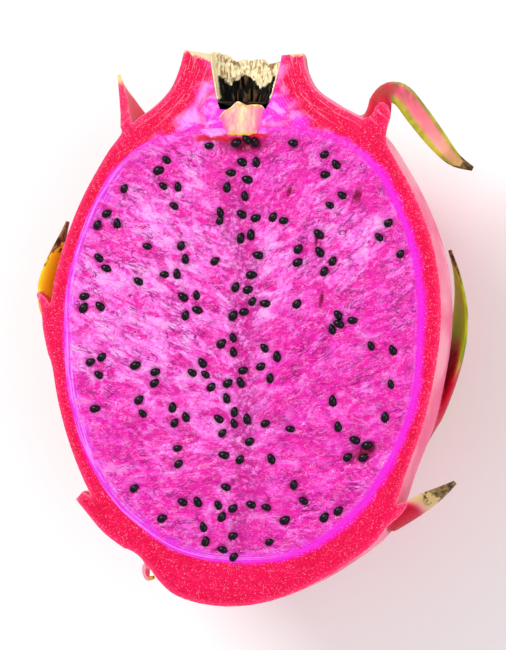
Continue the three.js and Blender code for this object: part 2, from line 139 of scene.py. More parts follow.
# %% Closed meshes
def mesh_object(name, points, faces, attributes=None):
    """An object whose vertices are given in millimetres. Faces come as arrays of rows, one array
    for each number of corners."""
    mesh = bpy.data.meshes.new(name)
    mesh.vertices.add(len(points))
    mesh.vertices.foreach_set("co", (points * MM).astype(np.float32).ravel())
    sizes = np.concatenate([np.full(len(part), part.shape[1]) for part in faces])
    corners = np.concatenate([part.ravel() for part in faces]).astype(np.int32)
    mesh.loops.add(len(corners))
    mesh.loops.foreach_set("vertex_index", corners)
    mesh.polygons.add(len(sizes))
    starts = np.concatenate([[0], np.cumsum(sizes)[:-1]]).astype(np.int32)
    mesh.polygons.foreach_set("loop_start", starts)
    for key, values in (attributes or {}).items():
        layer = mesh.attributes.new(key, "FLOAT", "POINT")
        layer.data.foreach_set("value", np.asarray(values, np.float32).ravel())
    mesh.update(calc_edges=True)
    mesh.shade_smooth()
    piece = bpy.data.objects.new(name, mesh)
    bpy.context.scene.collection.objects.link(piece)
    return piece


def ring_stack(name, rings, start, end, attributes=None):
    """A closed surface through rings of points. The sign of its volume, the sum of corner one dot
    corner two cross corner three, says whether the faces have to be turned over."""
    lines, around = rings.shape[:2]
    points = np.concatenate([rings.reshape(-1, 3), [start], [end]])
    line, a = np.meshgrid(np.arange(lines - 1), np.arange(around), indexing="ij")
    b = (a + 1) % around
    low, high = line * around, (line + 1) * around
    quads = np.stack([low + a, low + b, high + b, high + a], axis=-1).reshape(-1, 4)
    a = np.arange(around)
    b = (a + 1) % around
    last = (lines - 1) * around
    starts = np.stack([np.full(around, lines * around), b, a], axis=-1)
    ends = np.stack([np.full(around, lines * around + 1), last + a, last + b], axis=-1)
    caps = np.concatenate([starts, ends])
    triangles = points[np.concatenate([quads[:, :3], quads[:, [0, 2, 3]], caps])] - points.mean(0)
    volume = np.einsum("ij,ij->i", triangles[:, 0], np.cross(triangles[:, 1], triangles[:, 2])).sum()
    if volume < 0:
        quads, starts, ends = quads[:, ::-1], starts[:, ::-1], ends[:, ::-1]
    spread = {}
    for key, values in (attributes or {}).items():
        values = np.broadcast_to(values, (lines, around))
        spread[key] = np.concatenate([values.ravel(), [values[0].mean(), values[-1].mean()]])
    return mesh_object(name, points, [quads, np.concatenate([starts, ends])], spread)


def combined(base, others, operation):
    """Joins, cuts or clips a base with other closed meshes and removes those."""
    for other in others:
        modifier = base.modifiers.new(operation.title(), "BOOLEAN")
        modifier.operation = operation
        modifier.object = other
        modifier.solver = "MANIFOLD"
    depsgraph = bpy.context.evaluated_depsgraph_get()
    mesh = bpy.data.meshes.new_from_object(base.evaluated_get(depsgraph))
    base.modifiers.clear()
    base.data = mesh
    for other in others:
        bpy.data.objects.remove(other)
    return base


# %% [markdown]
# ## Layers on the vertices
# A layer is one number for each vertex, such as how green a bract is there. Vertices that a cut or a
# joint makes have 0 in each layer, so they take the mean of their neighbours.


# %% Layers on the vertices
def read(mesh, name):
    """A float attribute of the vertices as an array."""
    values = np.zeros(len(mesh.vertices), np.float32)
    mesh.attributes[name].data.foreach_get("value", values)
    return values


def write(mesh, name, values):
    """Puts an array into a float attribute of the vertices."""
    layer = mesh.attributes.get(name) or mesh.attributes.new(name, "FLOAT", "POINT")
    layer.data.foreach_set("value", np.asarray(values, np.float32))


def positions(mesh):
    """All vertices of a mesh in millimetres."""
    flat = np.zeros(len(mesh.vertices) * 3, np.float32)
    mesh.vertices.foreach_get("co", flat)
    return flat.reshape(-1, 3).astype(float) / MM


def edge_pairs(mesh):
    """The two vertices of every edge."""
    flat = np.zeros(len(mesh.edges) * 2, np.int32)
    mesh.edges.foreach_get("vertices", flat)
    return flat.reshape(-1, 2)


def neighbour_mean(values, pairs, weight):
    """Mean of the neighbours of every vertex, each counted with its weight."""
    total = np.zeros_like(values)
    count = np.zeros(len(values))
    for a, b in (pairs.T, pairs.T[::-1]):
        share = weight[b]
        np.add.at(total, a, values[b] * (share[:, None] if values.ndim == 2 else share))
        np.add.at(count, a, share)
    scale = 1 / np.maximum(count, 1e-9)
    return total * (scale[:, None] if values.ndim == 2 else scale), count


def fill_seams(mesh, names):
    """Gives vertices that a cut or joint made, which have tag 0, the mean of their neighbours."""
    pairs = edge_pairs(mesh)
    known = (read(mesh, "tag") > 0.5).astype(float)
    for _ in range(4):
        for name in names:
            values = read(mesh, name)
            mean, count = neighbour_mean(values, pairs, known)
            write(mesh, name, np.where((known < 0.5) & (count > 0), mean, values))
        _, count = neighbour_mean(known, pairs, known)
        known = np.maximum(known, (count > 0).astype(float))


# %% [markdown]
# ## Noise on whole arrays
# Pulp, dry paper and skin are rough in ways that a plain sine can't give. Strokes are short soft
# ridges laid at random with a direction that follows the fibres, and their sum makes the pulp's
# grain.


# %% Noise
def lattice(i, j, seed):
    """A fixed random number from 0 to 1 for every cell of a lattice, from mixing its bits."""
    mixed = (i * 374761393 + j * 668265263 + seed * 974634777) & 0xFFFFFFFF
    mixed = ((mixed ^ (mixed >> 13)) * 1274126177) & 0xFFFFFFFF
    return ((mixed ^ (mixed >> 16)) & 0xFFFFFF) / float(0x1000000)


def strokes(x, y, angle_of, cell, length, width, per_cell, seed):
    """Sum of soft strokes: each adds its height times e to the power of minus the squared distance
    along it over its length and across it over its width."""
    i, j = np.floor(x / cell).astype(np.int64), np.floor(y / cell).astype(np.int64)
    total = np.zeros_like(x)
    for di in (-1, 0, 1):
        for dj in (-1, 0, 1):
            for k in range(per_cell):
                own = seed + 7 * k
                px = (i + di + lattice(i + di, j + dj, own)) * cell
                py = (j + dj + lattice(i + di, j + dj, own + 1)) * cell
                height = 2 * lattice(i + di, j + dj, own + 2) - 1
                angle = angle_of(px, py) + 0.7 * (lattice(i + di, j + dj, own + 3) - 0.5)
                along = (x - px) * np.cos(angle) + (y - py) * np.sin(angle)
                across = (y - py) * np.cos(angle) - (x - px) * np.sin(angle)
                total += height * np.exp(-((along / length) ** 2) - (across / width) ** 2)
    return total


def seeded_numbers(seed):
    """Numbers from 0 to 1 by multiplying with 48271 modulo 2147483647."""
    state = seed
    while True:
        state = (state * 48271) % 2147483647
        yield state / 2147483647


print("mean of the lattice:", lattice(np.arange(1000), 0, 1).mean().round(2))

# %% [markdown]
# ## Skin
# The body of the rind is one round stack of rings. Its neck was cut at a slant, so the last rows
# are shifted along Y by how far they lie from the high corner of the neck.

# %% Skin
BRACT_LAYERS = ("tag", "inside", "red", "green", "gold", "pale", "dry", "leaf")


def round_body(name, rows, t, around, grow=0.0, shape=None, attributes=None):
    """A round body at the run positions t, closed to the middle of its first and last ring."""
    angle = 2 * np.pi * (np.arange(around) + 0.5) / around
    row = row_at(rows, t)[:, None, :]
    rings = section_points(row, angle[None, :] + 0 * row[..., 0], grow)
    if shape is not None:
        rings = shape(rings)
    start, end = rings[0].mean(0), rings[-1].mean(0)
    return ring_stack(name, rings, start, end, attributes)


def neck_slant(x, z):
    """How far the cut end of the neck lies above its mean height. It falls away from the left corner
    and towards the back."""
    slant = 0.9 - 0.08 * abs(x + 12) - 0.24 * np.maximum(CUT_HEIGHT - z, 0)
    slant -= 0.34 * np.clip(x + 12.4, 0, 6.5) * (1 - smoothstep(-4, 4, x))
    return slant + 0.9 * smoothstep(2, 8, x)


def slanted_top(points):
    """Shifts the last rows of the neck along Y to its slant."""
    moved = points.copy()
    share = np.clip((points[..., 1] - 52) / 10, 0, 1)
    moved[..., 1] += share * neck_slant(points[..., 0], points[..., 2])
    return moved


skin_t = np.concatenate([[0.004, 0.012, 0.02], np.linspace(0.03, 1, 150)])
none = {key: np.zeros(1) for key in BRACT_LAYERS}
none["tag"] = np.ones(1)
skin = round_body("skin", SKIN_ROWS, skin_t, 240, shape=slanted_top, attributes=none)
print("skin:", len(skin.data.polygons), "faces")

# %% [markdown]
# ## Bracts
# A bract is a thick leaf with a lens-shaped section, carried along a path and bent round the fruit.
# Those of the cut edge follow the photographed ones. Those of the back stand in a spiral, each
# 137.5 degrees on from the one before, as buds do.
#
# Each bract also carries how green, golden or dry it is from root to tip. The shader reads these
# layers, so one material serves all bracts.


# %% Bracts of the cut edge
def behind(depth):
    """Height of a point that lies a given depth behind the cut face."""
    return CUT_HEIGHT - depth


EDGE_BRACTS = [
    {  # upright triangle at the upper left, sliced down its middle
        "path": [[-27.4, 36.0, behind(0)], [-25.8, 43.0, behind(0)], [-25.8, 50.5, behind(0)],
                 [-27.0, 58.0, behind(0)]],
        "faces": [[-0.9, -0.3, 0.1], [-1, 0, 0.15], [-1, 0, 0.2]],
        "half_widths": [10.0, 14.0, 14.5, 9.0, 0.6],
        "thicknesses": [3.0, 3.6, 2.2, 1.7, 0.7],
        "wrap": 20,
        "colours": {"red": (1.0, 0.8, 0.5), "gold": (0.84, 0.93, 0.5), "pale": (0.86, 0.95, 0.9)},
    },
    {  # long strap at the upper right that arches over and hangs outwards
        "path": [[26.0, 42.5, behind(1.5)], [28.2, 49.0, behind(1.8)], [30.6, 53.4, behind(2.6)],
                 [34.2, 53.2, behind(3.2)], [37.9, 48.8, behind(3.4)], [41.6, 43.8, behind(3.4)],
                 [45.4, 39.4, behind(3.2)], [49.6, 37.2, behind(3.0)]],
        "faces": [[-0.8, 0.3, 0.5], [-0.5, 0.5, 0.7], [0.4, 0.4, 1], [0.25, 0.2, 1], [0, 0, 1]],
        "half_widths": [6.5, 5.0, 3.0, 2.7, 2.8, 2.4, 1.6, 0.5],
        "thicknesses": [4.0, 3.0, 2.4, 1.8, 1.5, 1.3, 1.1, 0.8],
        "wrap": 4.5,
        "colours": {"green": (0.66, 0.9, 0.6), "gold": (0.3, 0.6, 0.15), "dry": (0.88, 0.98, 1.0),
                    "green_margins": True, "red": (0.46, 0.3, 1.0)},
    },
    {  # long bract behind the right side that stands just off the skin
        "path": [[30.5, -27.0, behind(19)], [36.8, -16.0, behind(22)], [41.4, -4.0, behind(24)],
                 [43.2, 6.0, behind(24)], [42.6, 14.0, behind(23)], [40.9, 20.4, behind(22)]],
        "faces": [[0.88, -0.3, -0.45], [0.88, 0, -0.47], [0.93, 0.2, -0.33]],
        "half_widths": [6.0, 8.0, 7.2, 5.4, 3.2, 0.5],
        "thicknesses": [3.2, 3.2, 2.0, 1.5, 1.1, 0.8],
        "wrap": 26,
        "colours": {"green": (0.44, 0.54, 1.0), "gold": (0.5, 0.7, 0.1), "dry": (0.86, 0.97, 1.0),
                    "red": (0.56, 0.44, 1.0)},
    },
    {  # narrow dry bract at the lower right
        "path": [[31.0, -37.6, behind(2.5)], [36.0, -35.6, behind(3.4)], [40.6, -32.6, behind(4)],
                 [45.6, -29.0, behind(4)]],
        "faces": [[0.4, -0.85, 0.3], [0.4, -0.85, 0.4], [0.4, -0.8, 0.5]],
        "half_widths": [5.5, 4.4, 3.2, 0.6],
        "thicknesses": [4.6, 2.4, 1.5, 0.8],
        "wrap": 9,
        "colours": {"pale": (0.46, 0.6, 1.0), "dry": (0.4, 0.95, 0.9), "red": (0.56, 0.42, 1.0)},
    },
    {  # small curled bract at the stem end
        "path": [[-18.6, -44.2, behind(2)], [-21.6, -47.4, behind(2.4)], [-21.4, -50.0, behind(2.6)],
                 [-19.9, -49.9, behind(2.8)]],
        "faces": [[-0.7, 0.3, 0], [-1, -0.3, 0], [0, -1, 0], [0.8, -0.6, 0]],
        "half_widths": [3.4, 2.6, 1.8, 0.6],
        "thicknesses": [2.4, 1.5, 1.1, 0.8],
        "wrap": 6,
        "colours": {"green": (0.9, 1.2, 0.2), "gold": (0.72, 0.95, 1.0), "dry": (0.95, 1.1, 0.6)},
    },
    {  # thick stub at the lower left, where a bract was trimmed off
        "path": [[-22.5, -42.6, behind(2)], [-28.6, -38.4, behind(2)], [-33.4, -34.6, behind(2)],
                 [-35.9, -32.4, behind(2)]],
        "faces": [[-0.7, -0.7, 0], [-0.7, -0.7, 0]],
        "half_widths": [8.0, 8.0, 5.8, 4.2],
        "thicknesses": [5.6, 5.6, 3.6, 2.6],
        "wrap": 24,
        "colours": {"green": (0.9, 1.2, 0.1), "gold": (0.9, 1.1, 0.2), "dry": (1.1, 1.2, 0.0)},
    },
    {  # hooked stub at the left, sliced off near its root
        "path": [[-41.2, -3.0, behind(1)], [-42.4, 3.6, behind(1)], [-43.6, 8.4, behind(1)],
                 [-45.3, 11.2, behind(1)]],
        "faces": [[-1, -0.1, 0], [-0.9, -0.35, 0]],
        "half_widths": [5.5, 5.0, 4.0, 2.4],
        "thicknesses": [3.0, 3.4, 2.2, 0.9],
        "wrap": 26,
        "colours": {"green": (0.9, 1.2, 0.1), "gold": (0.9, 1.1, 0.3), "dry": (1.1, 1.2, 0.0)},
    },
    {  # upright blade above that stub, behind the cut face
        "path": [[-40.6, 3.0, behind(11)], [-43.8, 10.0, behind(7)], [-43.2, 17.0, behind(5)],
                 [-39.6, 26.6, behind(4)]],
        "faces": [[-0.92, -0.15, -0.4], [-0.88, 0, -0.42], [-0.95, 0.2, -0.1]],
        "half_widths": [6.0, 6.0, 4.2, 0.6],
        "thicknesses": [2.6, 1.8, 1.3, 0.8],
        "wrap": 18,
        "colours": {"green": (0.5, 0.9, 0.3), "gold": (0.0, 0.3, 1.0), "dry": (0.68, 0.95, 1.0)},
    },
]
print("bracts at the cut edge:", len(EDGE_BRACTS))

# %% [markdown]
# ## Roots on a spiral
# Leaves grow round a stem at the golden angle, so that none stands right above another. A root too
# close to the cut edge, or where the fruit rests, is left out.

# %% Bracts of the back
SPIRAL_COUNT = 36
SPIRAL_TURN = 2.39996
SPIRAL_LOW = -44.0
SPIRAL_HIGH = 43.0
EDGE_KEPT_CLEAR = 0.36
BRACT_SPACING = 14.0
FLOOR_CLEARANCE = 1.3
ROOT_DEPTH = 2.2
RESTING_ANGLE = 0.42
RESTING_RANGE = (-24, 12)


def back_bracts():
    """Roots on a spiral over the back. A bract starts a root depth under the skin and rises off it
    with the distance from its root to the power of one and a half."""
    draw = seeded_numbers(20611)
    edge_points = np.array([point for bract in EDGE_BRACTS for point in bract["path"]])
    bracts = []
    for k in range(SPIRAL_COUNT):
        angle = (SPIRAL_TURN * k + 0.55) % (2 * math.pi)
        share = k / (SPIRAL_COUNT - 1)
        height = SPIRAL_LOW + (SPIRAL_HIGH - SPIRAL_LOW) * share
        length = 15 + 9 * share + 3 * next(draw)
        rise = 5.5 + 4.5 * next(draw)
        root = section_points(row_at_height(SKIN_ROWS, height + 5.0), np.array(angle))
        on_the_back = EDGE_KEPT_CLEAR < angle < math.pi - EDGE_KEPT_CLEAR
        in_range = RESTING_RANGE[0] < height < RESTING_RANGE[1]
        under_the_fruit = abs(angle - math.pi / 2) < RESTING_ANGLE and in_range
        near = np.linalg.norm(edge_points - root, axis=1).min() < BRACT_SPACING
        if not on_the_back or under_the_fruit or near:
            continue
        t = np.linspace(0, 1, 7)
        row = row_at_height(SKIN_ROWS, height - 5 + (length + 5) * t)
        turn = np.full(7, angle)
        skin_points = section_points(row, turn)
        outward = section_points(row, turn, 1.0) - skin_points
        outward /= np.linalg.norm(outward, axis=1, keepdims=True)
        wanted = -ROOT_DEPTH + (rise + ROOT_DEPTH) * t**1.5
        allowed = (skin_points[:, 2] - FLOOR_CLEARANCE) / np.maximum(-outward[:, 2], 0.01)
        edges = row_at_height(SKIN_ROWS, float(height))
        wrap = max((edges[2] - edges[1]) / 2, 12)
        bracts.append({
            "path": skin_points + outward * np.minimum(wanted, allowed)[:, None],
            "faces": outward,
            "wrap": wrap,
            "half_widths": np.array([0.75, 1, 0.92, 0.7, 0.42, 0.05]) * min(10.5, 0.42 * wrap),
            "thicknesses": [3.6, 3.4, 2.4, 1.7, 1.2, 0.8],
            "colours": {"green": (0.35, 0.8, 0.9), "gold": (0.3, 0.6, 0.3), "dry": (0.86, 1.0, 1.0)},
        })
    return bracts


all_bracts = EDGE_BRACTS + back_bracts()
print("bracts on the back:", len(all_bracts) - len(EDGE_BRACTS))

# %% [markdown]
# ## Surface of a bract
# The path gives the middle line. Its direction, the way the bract faces and the side at right angles
# to both carry each section, which bends round the fruit like a strip of paper round a tube.


# %% Surfaces of the bracts
def unit(vectors):
    """Vectors scaled to length one."""
    return vectors / np.linalg.norm(vectors, axis=-1, keepdims=True)


def bract_piece(number, bract, stations=34, around=28):
    """A lens-shaped section along a path. A point of it lies the wrap radius times the sine of its
    bend to the side, the same times one less the cosine inwards, and half the thickness times the
    sine of its turn out of the middle surface."""
    t = np.linspace(0, 1, stations + 1)
    middle = row_at(bract["path"], t)
    along = unit(row_at(bract["path"], t + 0.02) - row_at(bract["path"], t - 0.02))
    face = row_at(bract["faces"], t)
    face = unit(face - along * np.sum(face * along, axis=1, keepdims=True))
    side = np.cross(along, face)
    half_width = row_at(np.reshape(bract["half_widths"], (-1, 1)), t)
    thickness = row_at(np.reshape(bract["thicknesses"], (-1, 1)), t)
    turn = 2 * np.pi * np.arange(around) / around
    wrap = bract["wrap"]
    bend = (half_width * np.cos(turn) / wrap)[..., None]
    lift = (thickness / 2 * np.sin(turn))[..., None]
    face, side, middle = face[:, None], side[:, None], middle[:, None]
    outward = face * np.cos(bend) + side * np.sin(bend)
    rings = middle + side * wrap * np.sin(bend) - face * wrap * (1 - np.cos(bend)) + outward * lift
    colours = bract["colours"]
    layers = {"tag": np.ones(1), "leaf": smoothstep(0.12, 0.4, t)[:, None]}
    layers["inside"] = smoothstep(-0.1, 0.3, -np.sin(turn))[None, :] + 0 * t[:, None]
    for key in ("red", "green", "gold", "pale", "dry"):
        low, high, most = colours.get(key, (1.1, 1.2, 0.0))
        margin = 0.12 * abs(np.cos(turn)) ** 4
        layers[key] = most * smoothstep(low, high, t[:, None] + margin[None, :])
    if colours.get("green_margins"):
        both = smoothstep(0.3, 0.66, abs(np.cos(turn))) * smoothstep(0.3, 0.4, t[:, None])
        layers["green"] = np.maximum(layers["green"], 0.95 * both)
    ends = row_at(bract["path"], np.array([0.0, 1.0]))
    return ring_stack(f"bract_{number}", rings, ends[0], ends[1], layers)


bract_pieces = [bract_piece(number, bract) for number, bract in enumerate(all_bracts)]
print("faces of all bracts:", sum(len(piece.data.polygons) for piece in bract_pieces))

# %% [markdown]
# ## One grown rind
# Skin and bracts are one tissue, so they are joined, and the crease at each root is relaxed into a
# soft hollow before the knife goes through. Only then the cavity of the flesh and the crater of the
# flower are cut out, because a knife leaves sharp edges.

# %% Join, relax and cut
rind = combined(skin, bract_pieces, "UNION")


def relax_creases(mesh, rounds=14, reach=3):
    """Moves the vertices near a joint halfway to the mean of their neighbours, some rounds over."""
    pairs = edge_pairs(mesh)
    near = (read(mesh, "tag") < 0.5).astype(float)
    for _ in range(reach):
        mean, _ = neighbour_mean(near, pairs, np.ones(len(near)))
        near = np.maximum(near, (mean > 0) * 0.75 * near.max())
    points = positions(mesh)
    for _ in range(rounds):
        mean, _ = neighbour_mean(points, pairs, np.ones(len(points)))
        points += 0.5 * near[:, None] * (mean - points)
    mesh.vertices.foreach_set("co", (points * MM).astype(np.float32).ravel())
    mesh.update()


fill_seams(rind.data, BRACT_LAYERS[1:])
relax_creases(rind.data)
write(rind.data, "tag", np.ones(len(rind.data.vertices)))

BOX_CORNERS = np.array([[-80, -90], [80, -90], [80, 90], [-80, 90]], float)


def slab(name, low, high):
    """A block between two heights, wide enough for the whole fruit."""
    rings = np.stack([np.column_stack([BOX_CORNERS, np.full(4, z)]) for z in (low, high)])
    return ring_stack(name, rings, rings[0].mean(0), rings[1].mean(0), {"tag": np.full(1, 2.0)})


flesh_t = np.concatenate([[0.002, 0.01, 0.02], np.linspace(0.03, 0.97, 110), [0.98, 0.99, 0.998]])
cavity = round_body("cavity", FLESH_ROWS, flesh_t, 180, attributes={"tag": np.full(1, 3.0)})
crater = round_body("crater", CRATER_ROWS, np.linspace(0, 1, 30), 90, attributes={"tag": np.full(1, 4.0)})
rind = combined(rind, [cavity, crater], "DIFFERENCE")
rind = combined(rind, [slab("half_space", 0.0, CUT_HEIGHT)], "INTERSECT")
rind.name = "rind_tissue"
fill_seams(rind.data, BRACT_LAYERS[1:])
print("rind:", len(rind.data.vertices), "vertices")

# %% [markdown]
# ## Measures on the cut face
# The colours of the cut rind depend on how far a point is from the flesh, from the skin and from the
# crater. The knife leaves a few long faces there, too few vertices to hold such measures, so these
# faces are first divided along a grid.

# %% Grid on the cut face
GRID_STEP = 0.9


def divide_cut_face(piece):
    """Slices the faces in the cut plane along lines of constant X and Y, sharpens the knife's edge
    and returns which faces lie in the cut."""
    grid = bmesh.new()
    grid.from_mesh(piece.data)
    top = CUT_HEIGHT * MM

    def cut_faces():
        """Level faces in the cut plane."""
        return [f for f in grid.faces if f.normal.z > 0.99 and abs(f.calc_center_median().z - top) < 1e-6]

    for axis, low, high in ((0, -47, 51), (1, -57, 64)):
        faces = cut_faces()
        for step in np.arange(low, high, GRID_STEP):
            place = Vector((0, 0, 0))
            place[axis] = step * MM
            normal = Vector((0, 0, 0))
            normal[axis] = 1
            crossed = [f for f in faces if min(v.co[axis] for v in f.verts) < place[axis]
                       < max(v.co[axis] for v in f.verts)]
            if not crossed:
                continue
            geometry = set(crossed)
            for face in crossed:
                geometry.update(face.edges)
                geometry.update(face.verts)
            kept = [f for f in faces if f not in geometry]
            result = bmesh.ops.bisect_plane(grid, geom=list(geometry), plane_co=place, plane_no=normal)
            faces = kept + [f for f in result["geom"] if isinstance(f, bmesh.types.BMFace)]
    chosen = set(cut_faces())
    for face in chosen:
        for edge in face.edges:
            if any(other not in chosen for other in edge.link_faces):
                edge.smooth = False
    in_cut = np.array([face in chosen for face in grid.faces])
    grid.to_mesh(piece.data)
    grid.free()
    return in_cut


in_cut = divide_cut_face(rind)
print("faces in the cut plane:", int(in_cut.sum()))

# %% [markdown]
# ## Distances
# Each vertex gets its distance from the flesh, the crater, the real edge of the skin and the smooth
# outline without bracts, and how far it lies below the cut end of the neck.


# %% Distances on the cut face
def distance_to(points, outline, part=8000):
    """Distance in the cut plane from every point to the nearest point of an outline."""
    nearest = [
        np.sqrt(((points[i : i + part, None, :2] - outline[None]) ** 2).sum(-1).min(1))
        for i in range(0, len(points), part)
    ]
    return np.concatenate(nearest)


def outline_of(rows, count=700):
    """Both edges of a run of rows as points of the cut plane."""
    run = row_at(rows, np.linspace(0, 1, count))
    return np.concatenate([run[:, [1, 0]], run[:, [2, 0]]])


mesh = rind.data
points = positions(mesh)
on_cut = abs(points[:, 2] - CUT_HEIGHT) < 0.002
pairs = edge_pairs(mesh)
off_plane = np.zeros(len(points), bool)
for a, b in (pairs.T, pairs.T[::-1]):
    np.logical_or.at(off_plane, a, ~on_cut[b])
flesh_line, crater_line = outline_of(FLESH_ROWS), outline_of(CRATER_ROWS[:4], 200)
from_flesh = distance_to(points, flesh_line)
from_crater = distance_to(points, crater_line)
skin_edge = points[on_cut & off_plane & (from_flesh > 0.2) & (from_crater > 0.2)][:, :2]
from_skin = np.where(on_cut, distance_to(points, skin_edge), 0.0)
write(mesh, "from_flesh", from_flesh)
write(mesh, "from_crater", from_crater)
write(mesh, "from_skin", from_skin)
write(mesh, "from_side", distance_to(points, outline_of(SKIN_ROWS)))
write(mesh, "from_top", NECK_TOP + neck_slant(points[:, 0], points[:, 2]) - points[:, 1])
print("cut face vertices:", int(on_cut.sum()), "of", len(points))

# %% [markdown]
# ## Seeds
# The seeds lie in loose groups. Each is placed by seeded draws inside its group, at the try that is
# farthest from its neighbours, by the same draws as in the part.

# %% Places of the seeds
SEED_GROUPS = [
    [11.4, 43.0, 0.5, 1], [-7.0, 42.6, 0.5, 1], [1.0, 41.3, 3.4, 5], [-18.0, 39.0, 3.6, 2],
    [18.4, 38.2, 2.4, 3], [-25.8, 33.4, 0.6, 1], [-16.0, 31.8, 3.2, 3], [-1.0, 34.2, 3.4, 4],
    [21.0, 30.2, 2.0, 2], [2.0, 28.6, 2.6, 2], [-30.0, 26.2, 2.4, 3], [8.6, 26.2, 2.2, 2],
    [-4.4, 26.6, 1.8, 2], [31.6, 24.4, 2.8, 2], [0.4, 22.8, 2.2, 2], [16.4, 23.8, 0.6, 1],
    [-13.0, 19.4, 2.2, 2], [-20.6, 20.6, 0.6, 1], [-30.6, 18.4, 2.0, 2], [4.0, 19.6, 1.4, 1],
    [18.6, 17.8, 2.8, 3], [11.4, 19.0, 2.0, 2], [35.0, 19.2, 0.5, 1], [-15.6, 14.6, 2.6, 2],
    [-6.3, 17.7, 0.6, 1], [0.6, 14.2, 3.0, 3], [-22.8, 13.6, 0.6, 1], [3.6, 9.6, 2.0, 2],
    [-33.2, 9.2, 2.4, 3], [-10.8, 8.2, 3.4, 4], [11.6, 9.0, 0.8, 1], [23.2, 7.0, 3.0, 2],
    [-1.2, 6.0, 2.4, 2], [20.2, 3.4, 1.8, 2], [-2.4, 0.6, 2.6, 3], [7.2, 0.0, 3.0, 2],
    [31.0, -0.6, 3.6, 2], [-21.4, -3.6, 4.2, 2], [-32.6, -4.2, 2.4, 3], [-8.2, -6.2, 3.4, 4],
    [-1.6, -7.0, 2.8, 3], [7.2, -4.6, 3.0, 2], [32.6, -8.2, 0.6, 1], [-19.4, -7.6, 0.6, 1],
    [20.2, -11.8, 0.6, 1], [-3.6, -12.2, 1.4, 1], [-22.2, -13.0, 2.2, 2], [-32.0, -13.8, 0.6, 1],
    [-14.6, -14.6, 3.0, 3], [-2.4, -16.6, 2.8, 4], [2.4, -18.2, 3.2, 3], [11.0, -18.0, 0.6, 1],
    [21.0, -17.2, 0.6, 1], [31.0, -15.0, 0.6, 1], [26.4, -23.2, 3.6, 4], [-13.8, -24.4, 2.6, 2],
    [-1.4, -25.8, 3.6, 2], [6.8, -24.6, 0.8, 1], [-3.4, -29.8, 0.6, 1], [-23.8, -30.6, 0.6, 1],
    [12.8, -31.4, 2.2, 2], [-12.0, -34.4, 3.0, 2], [-4.0, -34.4, 2.4, 3], [3.6, -35.4, 2.2, 2],
    [18.4, -35.0, 3.0, 2], [9.4, -37.2, 0.6, 1], [-17.4, -37.4, 0.6, 1], [-8.8, -40.2, 2.6, 2],
    [5.6, -42.0, 0.6, 1], [-1.4, -43.0, 3.0, 3],
]
SEED_SPACING = 2.5
SEED_TRIES = 14


def seed_places():
    """Rows of x, y, turn and size, by the draws of the part."""
    draw = seeded_numbers(4711)
    places = []
    for middle_x, middle_y, spread, count in SEED_GROUPS:
        for _ in range(count):
            best = None
            for _ in range(SEED_TRIES):
                reach = spread * math.sqrt(next(draw))
                turn = 2 * math.pi * next(draw)
                x, y = middle_x + reach * math.cos(turn), middle_y + reach * math.sin(turn)
                nearest = min([math.hypot(p[0] - x, p[1] - y) for p in places] + [99])
                if best is None or nearest > best[2]:
                    best = (x, y, nearest)
                if nearest > SEED_SPACING:
                    break
            places.append([best[0], best[1], math.pi * next(draw), 0.9 + 0.2 * next(draw)])
    return np.array(places)


seeds = seed_places()
print("seeds on the cut face:", len(seeds))

# %% [markdown]
# ## Flesh
# The pulp is a mass of fine juicy fibres that fan out from low in the fruit. The knife tears them a
# little, which leaves short ridges with narrow valleys.

# %% Relief of the pulp
FIBRE_CENTRE = (-1.0, -20.0)
LINES = 330
COLUMNS = 250
UNDER_COLUMNS = 26

# Small hollows that the knife opened: middle, half length, half width and direction
CAVITIES = [
    [26.8, -22.6, 3.0, 1.5, 0.5], [25.2, 31.4, 1.7, 0.8, 1.1], [16.4, 22.4, 1.6, 0.35, 1.5],
    [17.4, 9.6, 1.9, 0.4, 1.4], [0.4, 42.4, 5.4, 1.5, 0.0], [10.4, 32.6, 1.1, 0.45, 1.3],
]


def flesh_ripple(x, y):
    """The part's slow ripple: rays from the centre of the fibres crossed by rings round it."""
    dx, dy = x - FIBRE_CENTRE[0], y - FIBRE_CENTRE[1]
    distance, direction = np.hypot(dx, dy), np.arctan2(dy, dx)
    ripple = 0.26 * np.sin(11 * direction + 1.5 * np.sin(distance / 8))
    swell = 0.2 * np.sin(distance / 3.1 + 2 * np.sin(3 * direction))
    return (ripple + swell) * np.minimum(distance / 12, 1) - 0.35


def fibre_angle(x, y):
    """Fibres point away from their centre, and lie level below it."""
    dx, dy = x - FIBRE_CENTRE[0], y - FIBRE_CENTRE[1]
    dy = np.where(dy < 0, 0.2 * dy, np.where(dx < 0, 0.55, 0.75) * dy)
    return np.arctan2(dy, np.where(abs(dx) < 3, 3 * np.sign(dx + 1e-6), dx))


def pulp_relief(x, y):
    """Height of the fibres in two sizes: the absolute value of a sum of strokes has narrow valleys,
    and one less e to the power of minus that value flattens the backs between them. The places are
    shifted by slow waves first, so the fibres run in gentle bends."""
    wx = x + 0.8 * np.sin(y / 3.3 + 1.2 * np.sin(x / 5.1)) + 0.2 * np.sin(y / 1.3 + x / 2.1)
    wy = y + 0.8 * np.sin(x / 3.7 + 1.4 * np.sin(y / 4.3)) + 0.2 * np.sin(x / 1.5 - y / 1.9)
    coarse = abs(strokes(wx, wy, fibre_angle, 2.9, 1.7, 0.55, 5, 11))
    fine = abs(strokes(wx, wy, fibre_angle, 1.6, 0.85, 0.26, 6, 61))
    return 1 - np.exp(-coarse / 0.2), 1 - np.exp(-fine / 0.16)


print("small hollows:", len(CAVITIES))

# %% [markdown]
# ## Surface of the flesh
# The height is the part's slow ripple plus two sizes of strokes, lower round each seed and in the
# hollows, and faded out towards the smooth rim. The under side follows the wall of the cavity.

